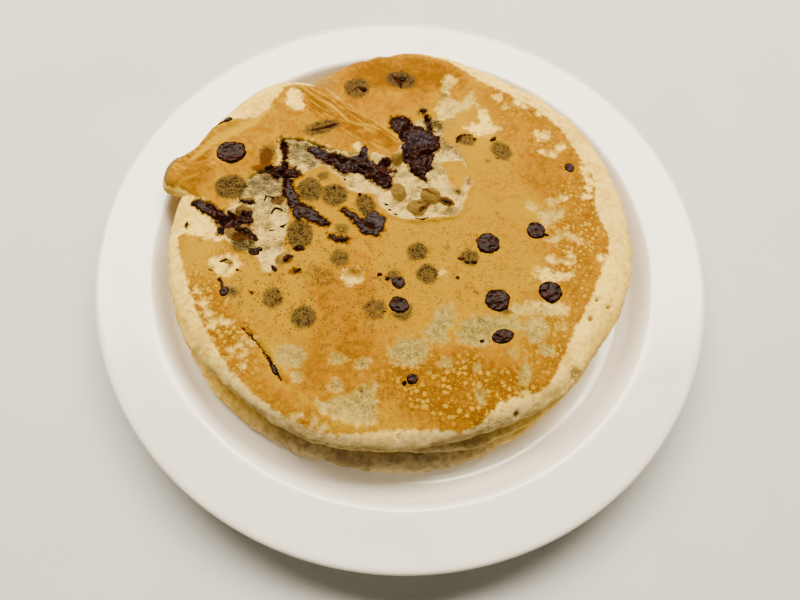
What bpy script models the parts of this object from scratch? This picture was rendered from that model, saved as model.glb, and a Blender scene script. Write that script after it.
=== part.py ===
"""A short stack of three chocolate-chip pancakes on a wide-rimmed dinner plate.

Frame: +Z is up, +X is right and +Y is back. The origin is under the middle of the plate, on the
surface that the plate stands on. The named sizes are in millimetres, and MM turns them into metres.

The top pancake tore when it was turned: a flap of it, at the back left, has slid over the rest,
and melted chocolate fills the tear. Where a chip reaches the surface, it sits in a pit of its own.
"""

import math

import bmesh
import bpy
import numpy as np
from mathutils import Vector

MM = 0.001
GAP = 0.3  # between pieces that touch

# The plate
PLATE_R = 130.0
PLATE_HEIGHT = 22.0
RIM_INNER_R = 107.0  # where the flat rim turns down into the well
RIM_RISE = 2.0  # how much the rim climbs outwards
RIM_THICKNESS = 3.6
WELL_R = 102.0
FLOOR_Z = 6.0
FOOT_OUTER_R = 84.0
FOOT_INNER_R = 77.0
FOOT_RECESS = 2.2
PLATE_SEGMENTS = 56

# The three pancakes, from the bottom up: their thickness, and how far the round edge reaches in
LAYER = 8.0
TOP_LAYER = 8.7
TOP_DOME = 0.9
SHOULDER = 9.0
UNDER_SHOULDER = 5.0
EDGE_STEPS = 6
PANCAKE_SEGMENTS = 54

# Radii round each pancake's centre, evenly spaced from +X anticlockwise
BOTTOM_CENTRE = (-1.0, 0.0)
BOTTOM_RADII = (93, 94, 95, 93, 95, 94, 96, 98, 96.5, 94, 92.5, 92)
MIDDLE_CENTRE = (1.0, 1.0)
MIDDLE_RADII = (92, 90, 92, 91, 89, 91, 92, 93, 90.5, 88, 90.5, 91)
TOP_CENTRE = (-1.0, 5.0)
TOP_RADII = (
    97.5, 97.5, 98, 97, 94.5, 95.5, 98, 95, 89, 88, 90, 93,
    97, 98.5, 99, 98, 96.5, 95.5, 94, 92, 92, 94, 94, 96.5,
)

# The torn flap: its outline, and the place that the whole outline can be seen from
FLAP_OUTLINE = (
    (-105.5, 14.0), (-97.0, 11.0), (-84.0, 6.5), (-77.0, 1.5), (-71.5, 8.5), (-66.5, 20.5),
    (-56.0, 27.5), (-57.0, 38.0), (-42.0, 40.0), (-29.0, 36.5), (-15.0, 33.0), (-7.0, 36.0),
    (-4.5, 42.5), (-17.5, 54.5), (-35.0, 68.0), (-46.0, 76.5), (-59.0, 78.0), (-68.0, 75.5),
    (-76.0, 69.0), (-85.0, 57.0), (-92.0, 45.5), (-97.5, 34.5), (-104.5, 29.0), (-107.0, 22.0),
)
FLAP_MIDDLE = (-62.0, 50.0)
FLAP_THICKNESS = 6.6
FLAP_PROUD = 0.6  # its rim stands this far above the top pancake
FLAP_EDGE = 2.6  # how far in its top edge is rounded
FLAP_CROWN = 2.2
FLAP_CROWN_REACH = 0.6

# The hollow that the tear leaves in the top pancake, in front of the flap
TEAR_OUTLINE = (
    (-66.0, 22.0), (-68.0, 4.0), (-64.0, -12.0), (-56.0, -20.0), (-52.0, -12.0), (-46.0, -1.0),
    (-38.0, 4.0), (-30.0, 22.0), (-16.0, 15.0), (-7.0, 9.5), (6.0, 7.5), (20.0, 12.0),
    (25.0, 24.0), (20.0, 38.0), (15.0, 52.0), (4.0, 52.0), (-8.0, 44.0), (-14.0, 34.0),
    (-54.0, 32.0),
)
TEAR_DEPTH = 2.0

# Chips that reach the surface: place and width, on the top pancake and on the flap
TOP_CHIPS = (
    (34.0, -0.5, 10.8), (55.0, 7.0, 8.2), (38.0, -26.0, 10.6), (60.0, -20.5, 10.2),
    (41.0, -41.5, 8.4), (-1.0, -23.0, 6.0), (0.0, -32.0, 7.4), (6.0, -62.0, 4.8),
    (70.0, 41.0, 4.6), (-70.0, -31.5, 4.6),
)
FLAP_CHIPS = ((-79.0, 32.5, 12.0),)
CHIP_HEIGHT = 4.4
CHIP_PROUD = 0.5
CHIP_SIDES = 11
CHIP_LEVELS = 5

# Melted chocolate: a run of (x, y, width) down the middle of each smear. Some of them lie in the
# hollow of the tear, and some in creases of the skin.
TEAR_MELTS = {
    "melt_upper": ((-45, 36.8, 3), (-36, 34.8, 4.6), (-27, 31.5, 6.5), (-18, 29.5, 6), (-8, 23, 5)),
    "melt_back": ((-10, 58.5, 5), (-4, 51.5, 7), (2, 44.0, 10), (4, 36.0, 9), (4, 29, 5)),
    "melt_left": ((-60, 21, 3), (-55, 22, 4.5), (-51, 17.5, 6), (-46, 11, 6), (-35, 3, 3.5)),
}
SKIN_MELTS = {
    "melt_edge": ((-89, 3.5, 3), (-82, 1.0, 4), (-76, -2.5, 4.5), (-68.5, 1, 3.5)),
    "melt_front": ((-27, 9.5, 3), (-21, 4.0, 4), (-15.5, -0.5, 5.5), (-11, -1.5, 4)),
}
MELT_HEIGHT = 3.4
MELT_PROUD = 0.9
MELT_SIDES = 7
MELT_STEPS = 10

COLOURS = {
    "plate": ((0.80, 0.79, 0.77, 1), 0.12),
    "pancake": ((0.76, 0.48, 0.14, 1), 0.75),
    "chocolate": ((0.05, 0.018, 0.012, 1), 0.4),
}


def material(name):
    """The named material, made once."""
    made = bpy.data.materials.get(name)
    if made is None:
        colour, roughness = COLOURS[name]
        made = bpy.data.materials.new(name)
        made.use_nodes = True
        shader = made.node_tree.nodes["Principled BSDF"]
        shader.inputs["Base Color"].default_value = colour
        shader.inputs["Roughness"].default_value = roughness
    return made


def add_object(name, bm, finish):
    """A scene object from a finished bmesh whose points are in millimetres."""
    bmesh.ops.scale(bm, vec=(MM, MM, MM), verts=bm.verts)
    bmesh.ops.recalc_face_normals(bm, faces=bm.faces)
    mesh = bpy.data.meshes.new(name)
    bm.to_mesh(mesh)
    bm.free()
    mesh.shade_smooth()
    mesh.set_sharp_from_angle(angle=math.radians(40))
    obj = bpy.data.objects.new(name, mesh)
    obj.data.materials.append(material(finish))
    bpy.context.scene.collection.objects.link(obj)
    return obj


def as_cutter(obj):
    """Marks a helper that only cuts, and isn't part of the object."""
    obj.hide_render = True
    obj.display_type = "WIRE"
    return obj


def cut(obj, cutter):
    """Takes the cutter's shape out of obj."""
    modifier = obj.modifiers.new("cut_" + cutter.name, "BOOLEAN")
    modifier.operation = "DIFFERENCE"
    modifier.solver = "MANIFOLD"
    modifier.object = cutter


def rounded(corners, steps=2):
    """The path through (x, z, fillet) corners, with an arc for each fillet radius."""
    path = []
    for i, (x, z, fillet) in enumerate(corners):
        corner = Vector((x, z))
        if not fillet:
            path.append(corner)
            continue
        back = (Vector(corners[i - 1][:2]) - corner).normalized()
        on = (Vector(corners[i + 1][:2]) - corner).normalized()
        half = back.angle(on) / 2
        centre = corner + (back + on).normalized() * fillet / math.sin(half)
        start = corner + back * fillet / math.tan(half) - centre
        end = corner + on * fillet / math.tan(half) - centre
        path += [centre + start.slerp(end, k / steps) * fillet for k in range(steps + 1)]
    return path


def make_plate():
    """The plate: a flat floor, a steep well wall, a wide rim and a foot ring, turned in one piece."""
    rim_z = PLATE_HEIGHT - RIM_RISE
    lip = RIM_THICKNESS / 2
    under_rim_z = rim_z - RIM_THICKNESS
    path = rounded(
        [
            (0, FLOOR_Z, 0),
            (WELL_R, FLOOR_Z, 7),
            (RIM_INNER_R, rim_z, 3),
            (PLATE_R - 2.0, PLATE_HEIGHT, 0),
            (PLATE_R, PLATE_HEIGHT, lip * 0.8),
            (PLATE_R, PLATE_HEIGHT - RIM_THICKNESS, lip * 0.8),
            (RIM_INNER_R + 3.5, under_rim_z, 3),
            (WELL_R + 2.0, 5.0, 5),
            (FOOT_OUTER_R + 3.0, 2.6, 3),
            (FOOT_OUTER_R, 0, 0),
            (FOOT_INNER_R, 0, 0),
            (FOOT_INNER_R - 2.0, FOOT_RECESS, 0),
            (0, FOOT_RECESS, 0),
        ]
    )
    bm = bmesh.new()
    verts = [bm.verts.new((point.x, 0, point.y)) for point in path]
    edges = [bm.edges.new(pair) for pair in zip(verts, verts[1:])]
    bmesh.ops.spin(
        bm, geom=verts + edges, axis=(0, 0, 1), cent=(0, 0, 0), angle=math.tau,
        steps=PLATE_SEGMENTS, use_merge=True,
    )
    bmesh.ops.remove_doubles(bm, verts=bm.verts, dist=0.001)
    return add_object("plate", bm, "plate")


def radii_round(radii, count):
    """The radii as a smooth closed curve through all of them, read at count even angles."""
    waves = np.fft.rfft(radii)
    waves[-1] /= 2
    return np.fft.irfft(waves, count) * count / len(radii)


def skin(bm, rings):
    """Joins closed rings of points into a sleeve, and closes its two ends to a point each."""
    rows = [[bm.verts.new(p) for p in ring] for ring in rings]
    for one, two in zip(rows, rows[1:]):
        for k in range(len(one)):
            bm.faces.new((one[k - 1], one[k], two[k], two[k - 1]))
    for row in (rows[0], rows[-1]):
        middle = bm.verts.new(sum((v.co for v in row), Vector()) / len(row))
        for k in range(len(row)):
            bm.faces.new((row[k - 1], row[k], middle))


def make_pancake(name, centre, radii, base_z, thickness, dome=0.0):
    """A lobed disc with a half-round edge, flat below and a little domed on top."""
    edge = radii_round(radii, PANCAKE_SEGMENTS)
    turn = np.linspace(0, math.tau, PANCAKE_SEGMENTS, endpoint=False)
    middle_z = base_z + thickness / 2

    def ring(radius, z):
        return [
            (centre[0] + r * math.cos(a), centre[1] + r * math.sin(a), z)
            for r, a in zip(radius, turn)
        ]

    flat = edge - SHOULDER
    rings = []
    if dome:
        rings = [
            ring(flat * share, base_z + thickness + dome * (1 - share**2))
            for share in (0.25, 0.65)
        ]
    for k in range(EDGE_STEPS + 1):
        lift = math.pi * (0.5 - k / EDGE_STEPS)
        reach = SHOULDER if lift > 0 else UNDER_SHOULDER
        rings.append(
            ring(edge - reach * (1 - math.cos(lift)), middle_z + math.sin(lift) * thickness / 2)
        )
    bm = bmesh.new()
    skin(bm, rings)
    return add_object(name, bm, "pancake")


def grown(outline, by):
    """The outline moved outwards by a distance at each corner."""
    points = [Vector(p) for p in outline]
    area = sum(points[k - 1].cross(points[k]) for k in range(len(points)))
    turn = math.copysign(1, area)
    moved = []
    for k, point in enumerate(points):
        back = (point - points[k - 1]).normalized()
        on = (points[(k + 1) % len(points)] - point).normalized()
        out = Vector((back.y + on.y, -back.x - on.x)) * turn
        out /= max(out.length, 0.2)
        moved.append(point + out * by)
    return moved


def make_block(name, outline, base_z, top_z):
    """A flat block with the outline's shape and upright sides."""
    bm = bmesh.new()
    rows = [[bm.verts.new((x, y, z)) for x, y in outline] for z in (base_z, top_z)]
    for k in range(len(outline)):
        bm.faces.new((rows[0][k - 1], rows[0][k], rows[1][k], rows[1][k - 1]))
    ends = [bm.faces.new(row) for row in rows]
    bmesh.ops.triangulate(bm, faces=ends)
    return add_object(name, bm, "pancake")


def make_flap(base_z):
    """The torn flap: a thick slab with a rounded rim and a low crown."""
    top_z = base_z + FLAP_THICKNESS
    levels = [
        (-0.35 * FLAP_EDGE, base_z),
        (0.0, base_z + 0.35 * FLAP_THICKNESS),
        (-0.2 * FLAP_EDGE, base_z + 0.75 * FLAP_THICKNESS),
        (-FLAP_EDGE, top_z),
    ]
    rings = [[(*point, z) for point in grown(FLAP_OUTLINE, inset)] for inset, z in levels]
    middle = Vector(FLAP_MIDDLE)
    crown = [middle.lerp(Vector(point), FLAP_CROWN_REACH) for point in FLAP_OUTLINE]
    rings.append([(*point, top_z + FLAP_CROWN) for point in crown])
    bm = bmesh.new()
    rows = [[bm.verts.new(point) for point in ring] for ring in rings]
    for one, two in zip(rows, rows[1:]):
        for k in range(len(one)):
            bm.faces.new((one[k - 1], one[k], two[k], two[k - 1]))
    ends = [bm.faces.new(rows[0]), bm.faces.new(rows[-1])]
    bmesh.ops.triangulate(bm, faces=ends)
    return add_object("torn_flap", bm, "pancake")


def make_chip(name, chip, middle_z, grow=0.0):
    """A squat round chocolate chip. grow makes the pit that it sits in."""
    x, y, width = chip
    half = width / 2 + grow
    bm = bmesh.new()
    bmesh.ops.create_uvsphere(bm, u_segments=CHIP_SIDES, v_segments=CHIP_LEVELS, radius=1)
    bmesh.ops.scale(bm, vec=(half, half, CHIP_HEIGHT / 2 + grow), verts=bm.verts)
    bmesh.ops.translate(bm, vec=(x, y, middle_z), verts=bm.verts)
    return add_object(name, bm, "chocolate")


def smooth_run(points, count):
    """Catmull-Rom points along a run, ends included."""
    run = [np.array(p, float) for p in (points[0], *points, points[-1])]
    made = []
    for t in np.linspace(0, len(points) - 1, count):
        k = min(int(t), len(points) - 2)
        u = t - k
        a, b, c, d = run[k : k + 4]
        made.append(
            b + 0.5 * u * (c - a + u * (2 * a - 5 * b + 4 * c - d + u * (3 * (b - c) + d - a)))
        )
    return made


def make_melt(name, run, z, grow=0.0):
    """A flattened strand of chocolate along the run. grow makes the groove that it lies in."""
    places = smooth_run(run, MELT_STEPS)
    turn = np.linspace(0, math.tau, MELT_SIDES, endpoint=False)
    rings = []
    for k, (x, y, width) in enumerate(places):
        before, after = places[max(k - 1, 0)], places[min(k + 1, MELT_STEPS - 1)]
        along = Vector((after - before)[:2]).normalized()
        end_taper = 0.45 if k in (0, MELT_STEPS - 1) else 1.0
        across = (width / 2) * end_taper + grow
        tall = (MELT_HEIGHT / 2) * end_taper + grow
        step_out = {0: -grow, MELT_STEPS - 1: grow}.get(k, 0.0)
        rings.append(
            [
                (
                    x + along.x * step_out - along.y * across * math.cos(a),
                    y + along.y * step_out + along.x * across * math.cos(a),
                    z + tall * math.sin(a),
                )
                for a in turn
            ]
        )
    bm = bmesh.new()
    skin(bm, rings)
    return add_object(name, bm, "chocolate")


def dome_rise(x, y):
    """How far the top pancake's dome has risen at a place, above the level of its shoulder."""
    reach = math.dist((x, y), TOP_CENTRE) / (min(TOP_RADII) - SHOULDER)
    return TOP_DOME * max(1 - reach**2, 0)


def make_stack():
    """The pancakes, the flap, the chips and the melted chocolate, each cut to clear the others."""
    bottom_z = FLOOR_Z + GAP
    middle_z = bottom_z + LAYER + GAP
    top_z = middle_z + LAYER + GAP
    surface_z = top_z + TOP_LAYER
    make_pancake("pancake_bottom", BOTTOM_CENTRE, BOTTOM_RADII, bottom_z, LAYER)
    make_pancake("pancake_middle", MIDDLE_CENTRE, MIDDLE_RADII, middle_z, LAYER)
    top = make_pancake("pancake_top", TOP_CENTRE, TOP_RADII, top_z, TOP_LAYER, TOP_DOME)

    flap_top_z = surface_z + TOP_DOME + FLAP_PROUD
    flap_z = flap_top_z - FLAP_THICKNESS
    flap = make_flap(flap_z)
    above = surface_z + LAYER
    seat = grown(FLAP_OUTLINE, GAP)
    cut(top, as_cutter(make_block("tear_cut", TEAR_OUTLINE, surface_z - TEAR_DEPTH, above)))
    cut(top, as_cutter(make_block("flap_cut", seat, flap_z - GAP, above)))

    seats = [(chip, top, surface_z + dome_rise(*chip[:2])) for chip in TOP_CHIPS]
    seats += [(chip, flap, flap_top_z + FLAP_CROWN) for chip in FLAP_CHIPS]
    for number, (chip, host, level) in enumerate(seats, 1):
        name = f"chip_{number:02d}"
        middle = level + CHIP_PROUD - CHIP_HEIGHT / 2
        make_chip(name, chip, middle)
        cut(host, as_cutter(make_chip(name + "_pit", chip, middle, GAP)))

    levels = {name: surface_z for name in TEAR_MELTS}
    levels |= {name: surface_z + dome_rise(*run[1][:2]) for name, run in SKIN_MELTS.items()}
    for name, run in (TEAR_MELTS | SKIN_MELTS).items():
        middle = levels[name] + MELT_PROUD - MELT_HEIGHT / 2
        make_melt(name, run, middle)
        cut(top, as_cutter(make_melt(name + "_groove", run, middle, GAP)))


def main():
    for obj in list(bpy.data.objects):
        bpy.data.objects.remove(obj)
    make_plate()
    make_stack()


main()
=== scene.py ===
"""The looks of a stack of three chocolate-chip pancakes on a white plate.

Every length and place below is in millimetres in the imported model's own frame, with the plate's foot at
z = 0. MM turns them into metres when a mesh is made. Lists of radii are at equal steps of angle,
anticlockwise from +X.
"""

import math

import bmesh
import bpy
import numpy as np
from mathutils import Matrix, Vector


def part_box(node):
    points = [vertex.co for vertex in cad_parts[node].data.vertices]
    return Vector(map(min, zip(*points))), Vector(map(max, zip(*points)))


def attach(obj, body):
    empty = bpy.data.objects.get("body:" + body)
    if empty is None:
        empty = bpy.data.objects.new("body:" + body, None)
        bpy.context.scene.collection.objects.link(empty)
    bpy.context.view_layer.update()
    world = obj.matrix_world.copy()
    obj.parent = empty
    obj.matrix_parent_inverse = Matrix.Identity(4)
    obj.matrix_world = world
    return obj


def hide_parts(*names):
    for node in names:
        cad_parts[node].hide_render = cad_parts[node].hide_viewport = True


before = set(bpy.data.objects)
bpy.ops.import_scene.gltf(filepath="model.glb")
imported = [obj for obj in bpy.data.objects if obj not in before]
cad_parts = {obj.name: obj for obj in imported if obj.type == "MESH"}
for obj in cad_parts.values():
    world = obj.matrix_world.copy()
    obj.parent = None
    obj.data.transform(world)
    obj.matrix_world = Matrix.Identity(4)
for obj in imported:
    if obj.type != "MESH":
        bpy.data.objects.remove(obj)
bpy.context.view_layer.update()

MM = 0.001


# ---------------------------------------------------------------------------------------------- camera

CAMERA_PLACE = Vector((0.0, -123.7, 251.3)) * MM
CAMERA_DROP = 66.93  # degrees that the camera looks down
CAMERA_ROLL = 4.64  # degrees
CAMERA_LENS = 27.05


def add_camera():
    """The camera at the photographed angle: close over the plate's front edge, looking steeply down."""
    data = bpy.data.cameras.new("view")
    data.lens = CAMERA_LENS
    data.clip_start = 0.005
    camera = bpy.data.objects.new("view", data)
    drop = math.radians(CAMERA_DROP)
    forward = Vector((0.0, math.cos(drop), -math.sin(drop)))
    roll = Matrix.Rotation(math.radians(CAMERA_ROLL), 3, "Z")
    turn = forward.to_track_quat("-Z", "Y").to_matrix() @ roll
    camera.matrix_world = Matrix.Translation(CAMERA_PLACE) @ turn.to_4x4()
    bpy.context.scene.collection.objects.link(camera)
    bpy.context.scene.camera = camera


add_camera()


# ---------------------------------------------------------------------------------------------- numbers

FAR = 1e9
DRAW = np.random.default_rng(20)
ORDER = DRAW.permutation(256)
ARROWS = DRAW.normal(size=(256, 3))
ARROWS /= np.linalg.norm(ARROWS, axis=1)[:, None]
JITTER = DRAW.random((256, 3))


def drawn(cells, seed):
    """A random whole number from 0 to 255 for each row of three whole numbers."""
    x, y, z = (cells.T + 37 * seed) & 255
    return ORDER[(ORDER[(ORDER[x] + y) & 255] + z) & 255]


def noise(points, size, seed):
    """Smooth noise of about -1 to 1 at each row of points, with bumps of about that size."""
    scaled = points / size
    base = np.floor(scaled).astype(np.int64)
    part = scaled - base
    ease = part**3 * (part * (part * 6.0 - 15.0) + 10.0)
    total = np.zeros(len(points))
    for corner in np.ndindex(2, 2, 2):
        weight = np.prod(np.where(corner, ease, 1.0 - ease), axis=1)
        arrow = ARROWS[drawn(base + corner, seed)]
        total += weight * np.einsum("ij,ij->i", arrow, part - corner)
    return 1.6 * total


def rough(points, size, seed, octaves=3):
    """Noise with finer and finer detail added to it."""
    return sum(noise(points, size / 2**k, seed + k) / 2**k for k in range(octaves))


def cells(points, size, seed):
    """Distance to the nearest of scattered points, one for each cube of that size, as a share of the size."""
    scaled = points / size
    base = np.floor(scaled).astype(np.int64)
    least = np.full(len(points), 9.0)
    for step in np.ndindex(3, 3, 3):
        cell = base + np.array(step) - 1
        gap = cell + JITTER[drawn(cell, seed)] - scaled
        least = np.minimum(least, np.einsum("ij,ij->i", gap, gap))
    return np.sqrt(least)


def smooth(value, low, high):
    """0 at low, 1 at high, with an S-shaped rise between them."""
    share = np.clip((value - low) / (high - low), 0.0, 1.0)
    return share * share * (3.0 - 2.0 * share)


def flat(x, y):
    """Rows of points at height 0."""
    return np.column_stack((x, y, np.zeros_like(x)))


def spline(p0, p1, p2, p3, t):
    """The place at share t of the way from p1 to p2 on a smooth curve through four points."""
    bend = 2.0 * p0 - 5.0 * p1 + 4.0 * p2 - p3 + t * (3.0 * (p1 - p2) + p3 - p0)
    return p1 + 0.5 * t * (p2 - p0 + t * bend)


def around(radii, angle):
    """The radius at each angle of a smooth closed curve through radii at equal steps."""
    radii = np.asarray(radii, float)
    place = np.mod(angle / (2.0 * np.pi), 1.0) * len(radii)
    first = np.floor(place).astype(int)
    t = place - first
    return spline(*(radii[(first + k) % len(radii)] for k in (-1, 0, 1, 2)), t)


def curved(points, closed=True, steps=5):
    """A smooth curve through rows of points, as more rows."""
    points = np.asarray(points, float)
    count = len(points)
    rows = []
    for k in range(count if closed else count - 1):
        ids = [(k + j) % count if closed else min(max(k + j, 0), count - 1) for j in (-1, 0, 1, 2)]
        rows += [spline(*points[ids], t) for t in np.arange(steps) / steps]
    if not closed:
        rows.append(points[-1])
    return np.array(rows)


def from_segment(x, y, x0, y0, ex, ey):
    """Offsets from the nearest point of a straight piece, and that point's share of the way along it."""
    share = np.clip(((x - x0) * ex + (y - y0) * ey) / (ex * ex + ey * ey), 0.0, 1.0)
    return x - x0 - share * ex, y - y0 - share * ey, share


def outline_distance(x, y, points, steps=3):
    """Signed distance to a smooth closed outline, negative inside it."""
    outline = curved(points, steps=steps)
    near = np.full(x.shape, FAR)
    inside = np.zeros(x.shape, bool)
    for (x0, y0), (x1, y1) in zip(outline, np.roll(outline, -1, axis=0)):
        ex, ey = x1 - x0, y1 - y0
        aside, off, _ = from_segment(x, y, x0, y0, ex, ey)
        near = np.minimum(near, aside**2 + off**2)
        crossed = (y0 > y) != (y1 > y)
        inside ^= crossed & (x < x0 + (y - y0) * ex / (ey if ey else 1e-9))
    return np.where(inside, -1.0, 1.0) * np.sqrt(near)


def run_distance(x, y, run):
    """Signed distance to a stroke along rows of (x, y, width), negative inside it."""
    near = np.full(x.shape, FAR)
    for (x0, y0, w0), (x1, y1, w1) in zip(run, run[1:]):
        aside, off, share = from_segment(x, y, x0, y0, x1 - x0, y1 - y0)
        near = np.minimum(near, np.hypot(aside, off) - 0.5 * (w0 + share * (w1 - w0)))
    return near


def ridge(x, y, width, places):
    """1 along the line through the places, falling to 0 over about that width on each side."""
    gap = np.maximum(run_distance(x, y, [(*place, 0.0) for place in places]), 0.0)
    return np.exp(-((gap / width) ** 2) * 2.0)


def spot_distance(x, y, spot):
    """Signed distance to a spot (x, y, radius[, other radius[, turn in degrees]]), negative inside it."""
    cx, cy, wide, *rest = spot
    tall = rest[0] if rest else wide
    turn = math.radians(rest[1]) if len(rest) > 1 else 0.0
    along = (x - cx) * math.cos(turn) + (y - cy) * math.sin(turn)
    across = (y - cy) * math.cos(turn) - (x - cx) * math.sin(turn)
    return (np.hypot(along / wide, across / tall) - 1.0) * min(wide, tall)


def nearest(measure, x, y, shapes):
    """Signed distance to the nearest of several shapes, by the measure that suits them."""
    near = np.full(x.shape, FAR)
    for shape in shapes:
        near = np.minimum(near, measure(x, y, shape))
    return near


def strongest(measure, x, y, shapes, low, high):
    """0 to 1 at each place: the most of a smooth rise into any of several shapes."""
    return np.maximum.reduce([smooth(measure(x, y, shape), low, high) for shape in shapes])


def zones(x, y, rows):
    """The strongest at each place of soft oval zones (strength, x, y, radius, other radius, turn)."""
    most = np.zeros(x.shape)
    for strength, *spot in rows:
        share = spot_distance(x, y, spot) / min(spot[2], spot[3]) + 1.0
        most = np.maximum(most, strength * smooth(share, 1.35, 0.55))
    return most


# ------------------------------------------------------------------------------- the top pancake's features

TOP_CENTRE = (-1.0, 5.0)
TOP_RADII = (
    97.5, 97.5, 98, 97, 94.5, 95.5, 98, 95, 89, 88, 90, 93, 97, 98.5, 99, 98, 96.5, 95.5, 94, 92, 92, 94,
    94, 96.5,
)
BROWNED_RADII = (
    86.5, 83.4, 86.8, 86.5, 87.8, 87, 86, 86, 92, 97, 98, 98, 96, 92, 92, 94, 96, 95, 92, 93.2, 91.2,
    90.6, 90.8, 92, 92.3, 92.7, 91.2, 87, 87, 89.5, 84.5, 88.2, 85, 82, 82.3, 84.2,
)

FLAP_MIDDLE = (-62.0, 50.0)
FLAP_OUTLINE = (
    (-105.5, 14), (-97, 11), (-84, 6.5), (-77, 1.5), (-71.5, 8.5), (-68.5, 21.5), (-58, 27.5), (-58, 41),
    (-49, 42.5), (-41, 40.5), (-29, 36.8), (-22.5, 38), (-15, 36), (-7, 38.5), (-4, 45.5), (-17.5, 56.5),
    (-35, 68), (-46, 76.5), (-59, 78), (-68, 75.5), (-76, 69), (-85, 57), (-92, 45.5), (-97.5, 34.5),
    (-104.5, 29), (-107, 22),
)

# Where the skin is torn away and the crumb shows.
TORN_LEFT = (
    (-72, 24), (-60, 27), (-54, 22), (-53, 17), (-50, 8), (-49, 2), (-50, -9), (-49, -14), (-52, -22),
    (-56, -22.5), (-59, -17), (-63, -14), (-70, -12), (-75, -7), (-79, -1), (-80, 8),
)
TORN_MIDDLE = (
    (-66, 36), (-58, 48), (-40, 46), (-22, 44), (-9, 44), (-5, 54), (3, 60), (10, 60), (13, 56),
    (13.5, 50), (17, 47), (19.5, 44), (23, 39), (24.5, 34), (27, 27), (26, 24), (24, 18), (22.5, 13),
    (20, 10), (14, 8.8), (7, 7.4), (2, 6.8), (-4, 7.5), (-9, 10), (-12, 15), (-15, 17.8), (-20, 17.5),
    (-25, 18.5), (-28, 23), (-33, 27), (-37, 29.6), (-40, 29.8), (-45, 26.5), (-49, 23), (-55, 22),
    (-64, 26),
)
SKIN_LEFT_BEHIND = ((12, 36), (17, 38), (23, 38.5), (24.5, 33), (24, 26), (20, 23.5), (17, 27), (15.5, 32))
TORN_DEPTH = 1.9

# Pale places in the browned skin, where the batter never touched the pan.
PALE_PATCHES = (
    ((13, 86), (17, 86), (17.5, 82), (15, 78), (16, 73), (22, 72), (24, 77), (26, 78), (27, 74),
     (25, 70), (22, 67), (14, 61), (11, 61), (10, 65), (11, 70), (12, 76)),
    ((29, 70), (32, 68), (34, 64), (35, 60), (39, 58), (36, 55), (31, 54), (26, 55), (23, 57), (25, 59),
     (29, 60), (30, 62), (29, 66)),
    ((14, -36), (16, -32), (19, -31), (22, -34), (22, -38), (19, -41), (19, -46), (13, -46), (9, -43),
     (12, -41)),
    ((24, -40), (27, -36), (33, -34.5), (40, -34), (47, -35), (46, -38), (38, -40), (36, -45),
     (30, -47), (24, -45)),
    ((-28, -74.5), (-24, -73), (-20, -71), (-16, -71), (-14, -68), (-11, -66), (-8, -69), (-6, -73),
     (-5, -77), (-7, -80), (-12, -80.5), (-18, -79.5), (-24, -77.5)),
    ((-101, 14), (-90, 9), (-80, 3), (-74, -2), (-72, -6), (-76, -10), (-82, -9), (-90, -8), (-95, -9),
     (-101, -4)),
    ((-76, -17.5), (-69, -17), (-66, -20), (-67, -24), (-72, -25), (-77, -22)),
    ((56, 13), (60, 16), (64, 17.5), (66.5, 17), (65, 14), (62, 11), (60, 8), (58, 9)),
    ((44, -30), (50, -27), (56, -26), (64, -26), (67, -28), (63, -31), (55, -31), (48, -32)),
)
PALE_SPOTS = (
    (54, -38, 4.4, 5.2), (5, -51.5, 7, 5.5, 20), (-40, -57, 5.5, 4.5), (49.5, -57.5, 1.6, 5, -5),
    (60, -14.5, 5, 2), (55, 16.5, 3.2, 1.4, -35), (38, 76, 1.8), (41, 71, 1.1), (47, 74.5, 1.6),
    (50, 72.5, 1.3), (57, 69, 1.1), (59, 56, 2.6, 2.0, 50), (56, 57, 1.5), (66, 50.5, 2.2, 1.5, 40),
    (58, 47, 1.6, 1), (62.5, 46, 1.3), (77, 40, 1.6, 3.2), (79, 34, 1.6), (78, 30, 1.5), (77, 26, 1.4),
    (61, 20.5, 2.1, 1.4), (62, 3, 2.3, 1.4, 20), (66, 6, 1.7, 1), (71, 4.5, 2.6, 0.9, -20),
    (16.3, -17, 1.7, 1.2), (67, -13, 2.2, 1.2), (57, -12, 1.7, 1), (64.5, -29, 2.2, 1.7, 20),
    (64.5, -35.5, 1.7, 1.1, 30), (58, -46, 2.6, 2), (19.5, -54.5, 1.9), (31, -56, 1.3),
    (33, -66, 1.5, 2.6), (45, -48, 1.4), (45, -37, 2.5, 1.8), (-80, -33, 1.2), (-77, -38, 1.0),
    (-72, -46.5, 2.1, 1.4), (-74, -42.5, 1.5), (-67, -45, 2, 1), (-56, -52, 1.8, 1.3), (-59.5, -54, 1.3),
    (-58, -57, 1.3), (-62, -56.5, 1.2), (-57.5, -62.5, 1.0), (-22, -56.5, 2.6, 2), (-12, -57.5, 1.9),
    (-21, -67, 2.6, 2), (-27, -81, 1.4), (-24.5, -82.5, 1.5), (-34, -79, 1.4), (-19.5, -21.8, 4.0, 3.4),
    (-36, -64.5, 1.6), (-7.5, -67.5, 1, 3), (67, 24, 1.3), (63, 22, 1.1), (69, -4, 1.3),
    (61.5, -7, 1.9, 1.4), (67, -7, 1.8, 1), (82, -4, 1.6, 1.1), (-55, -52.5, 1.2), (6, 15, 1),
)

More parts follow.
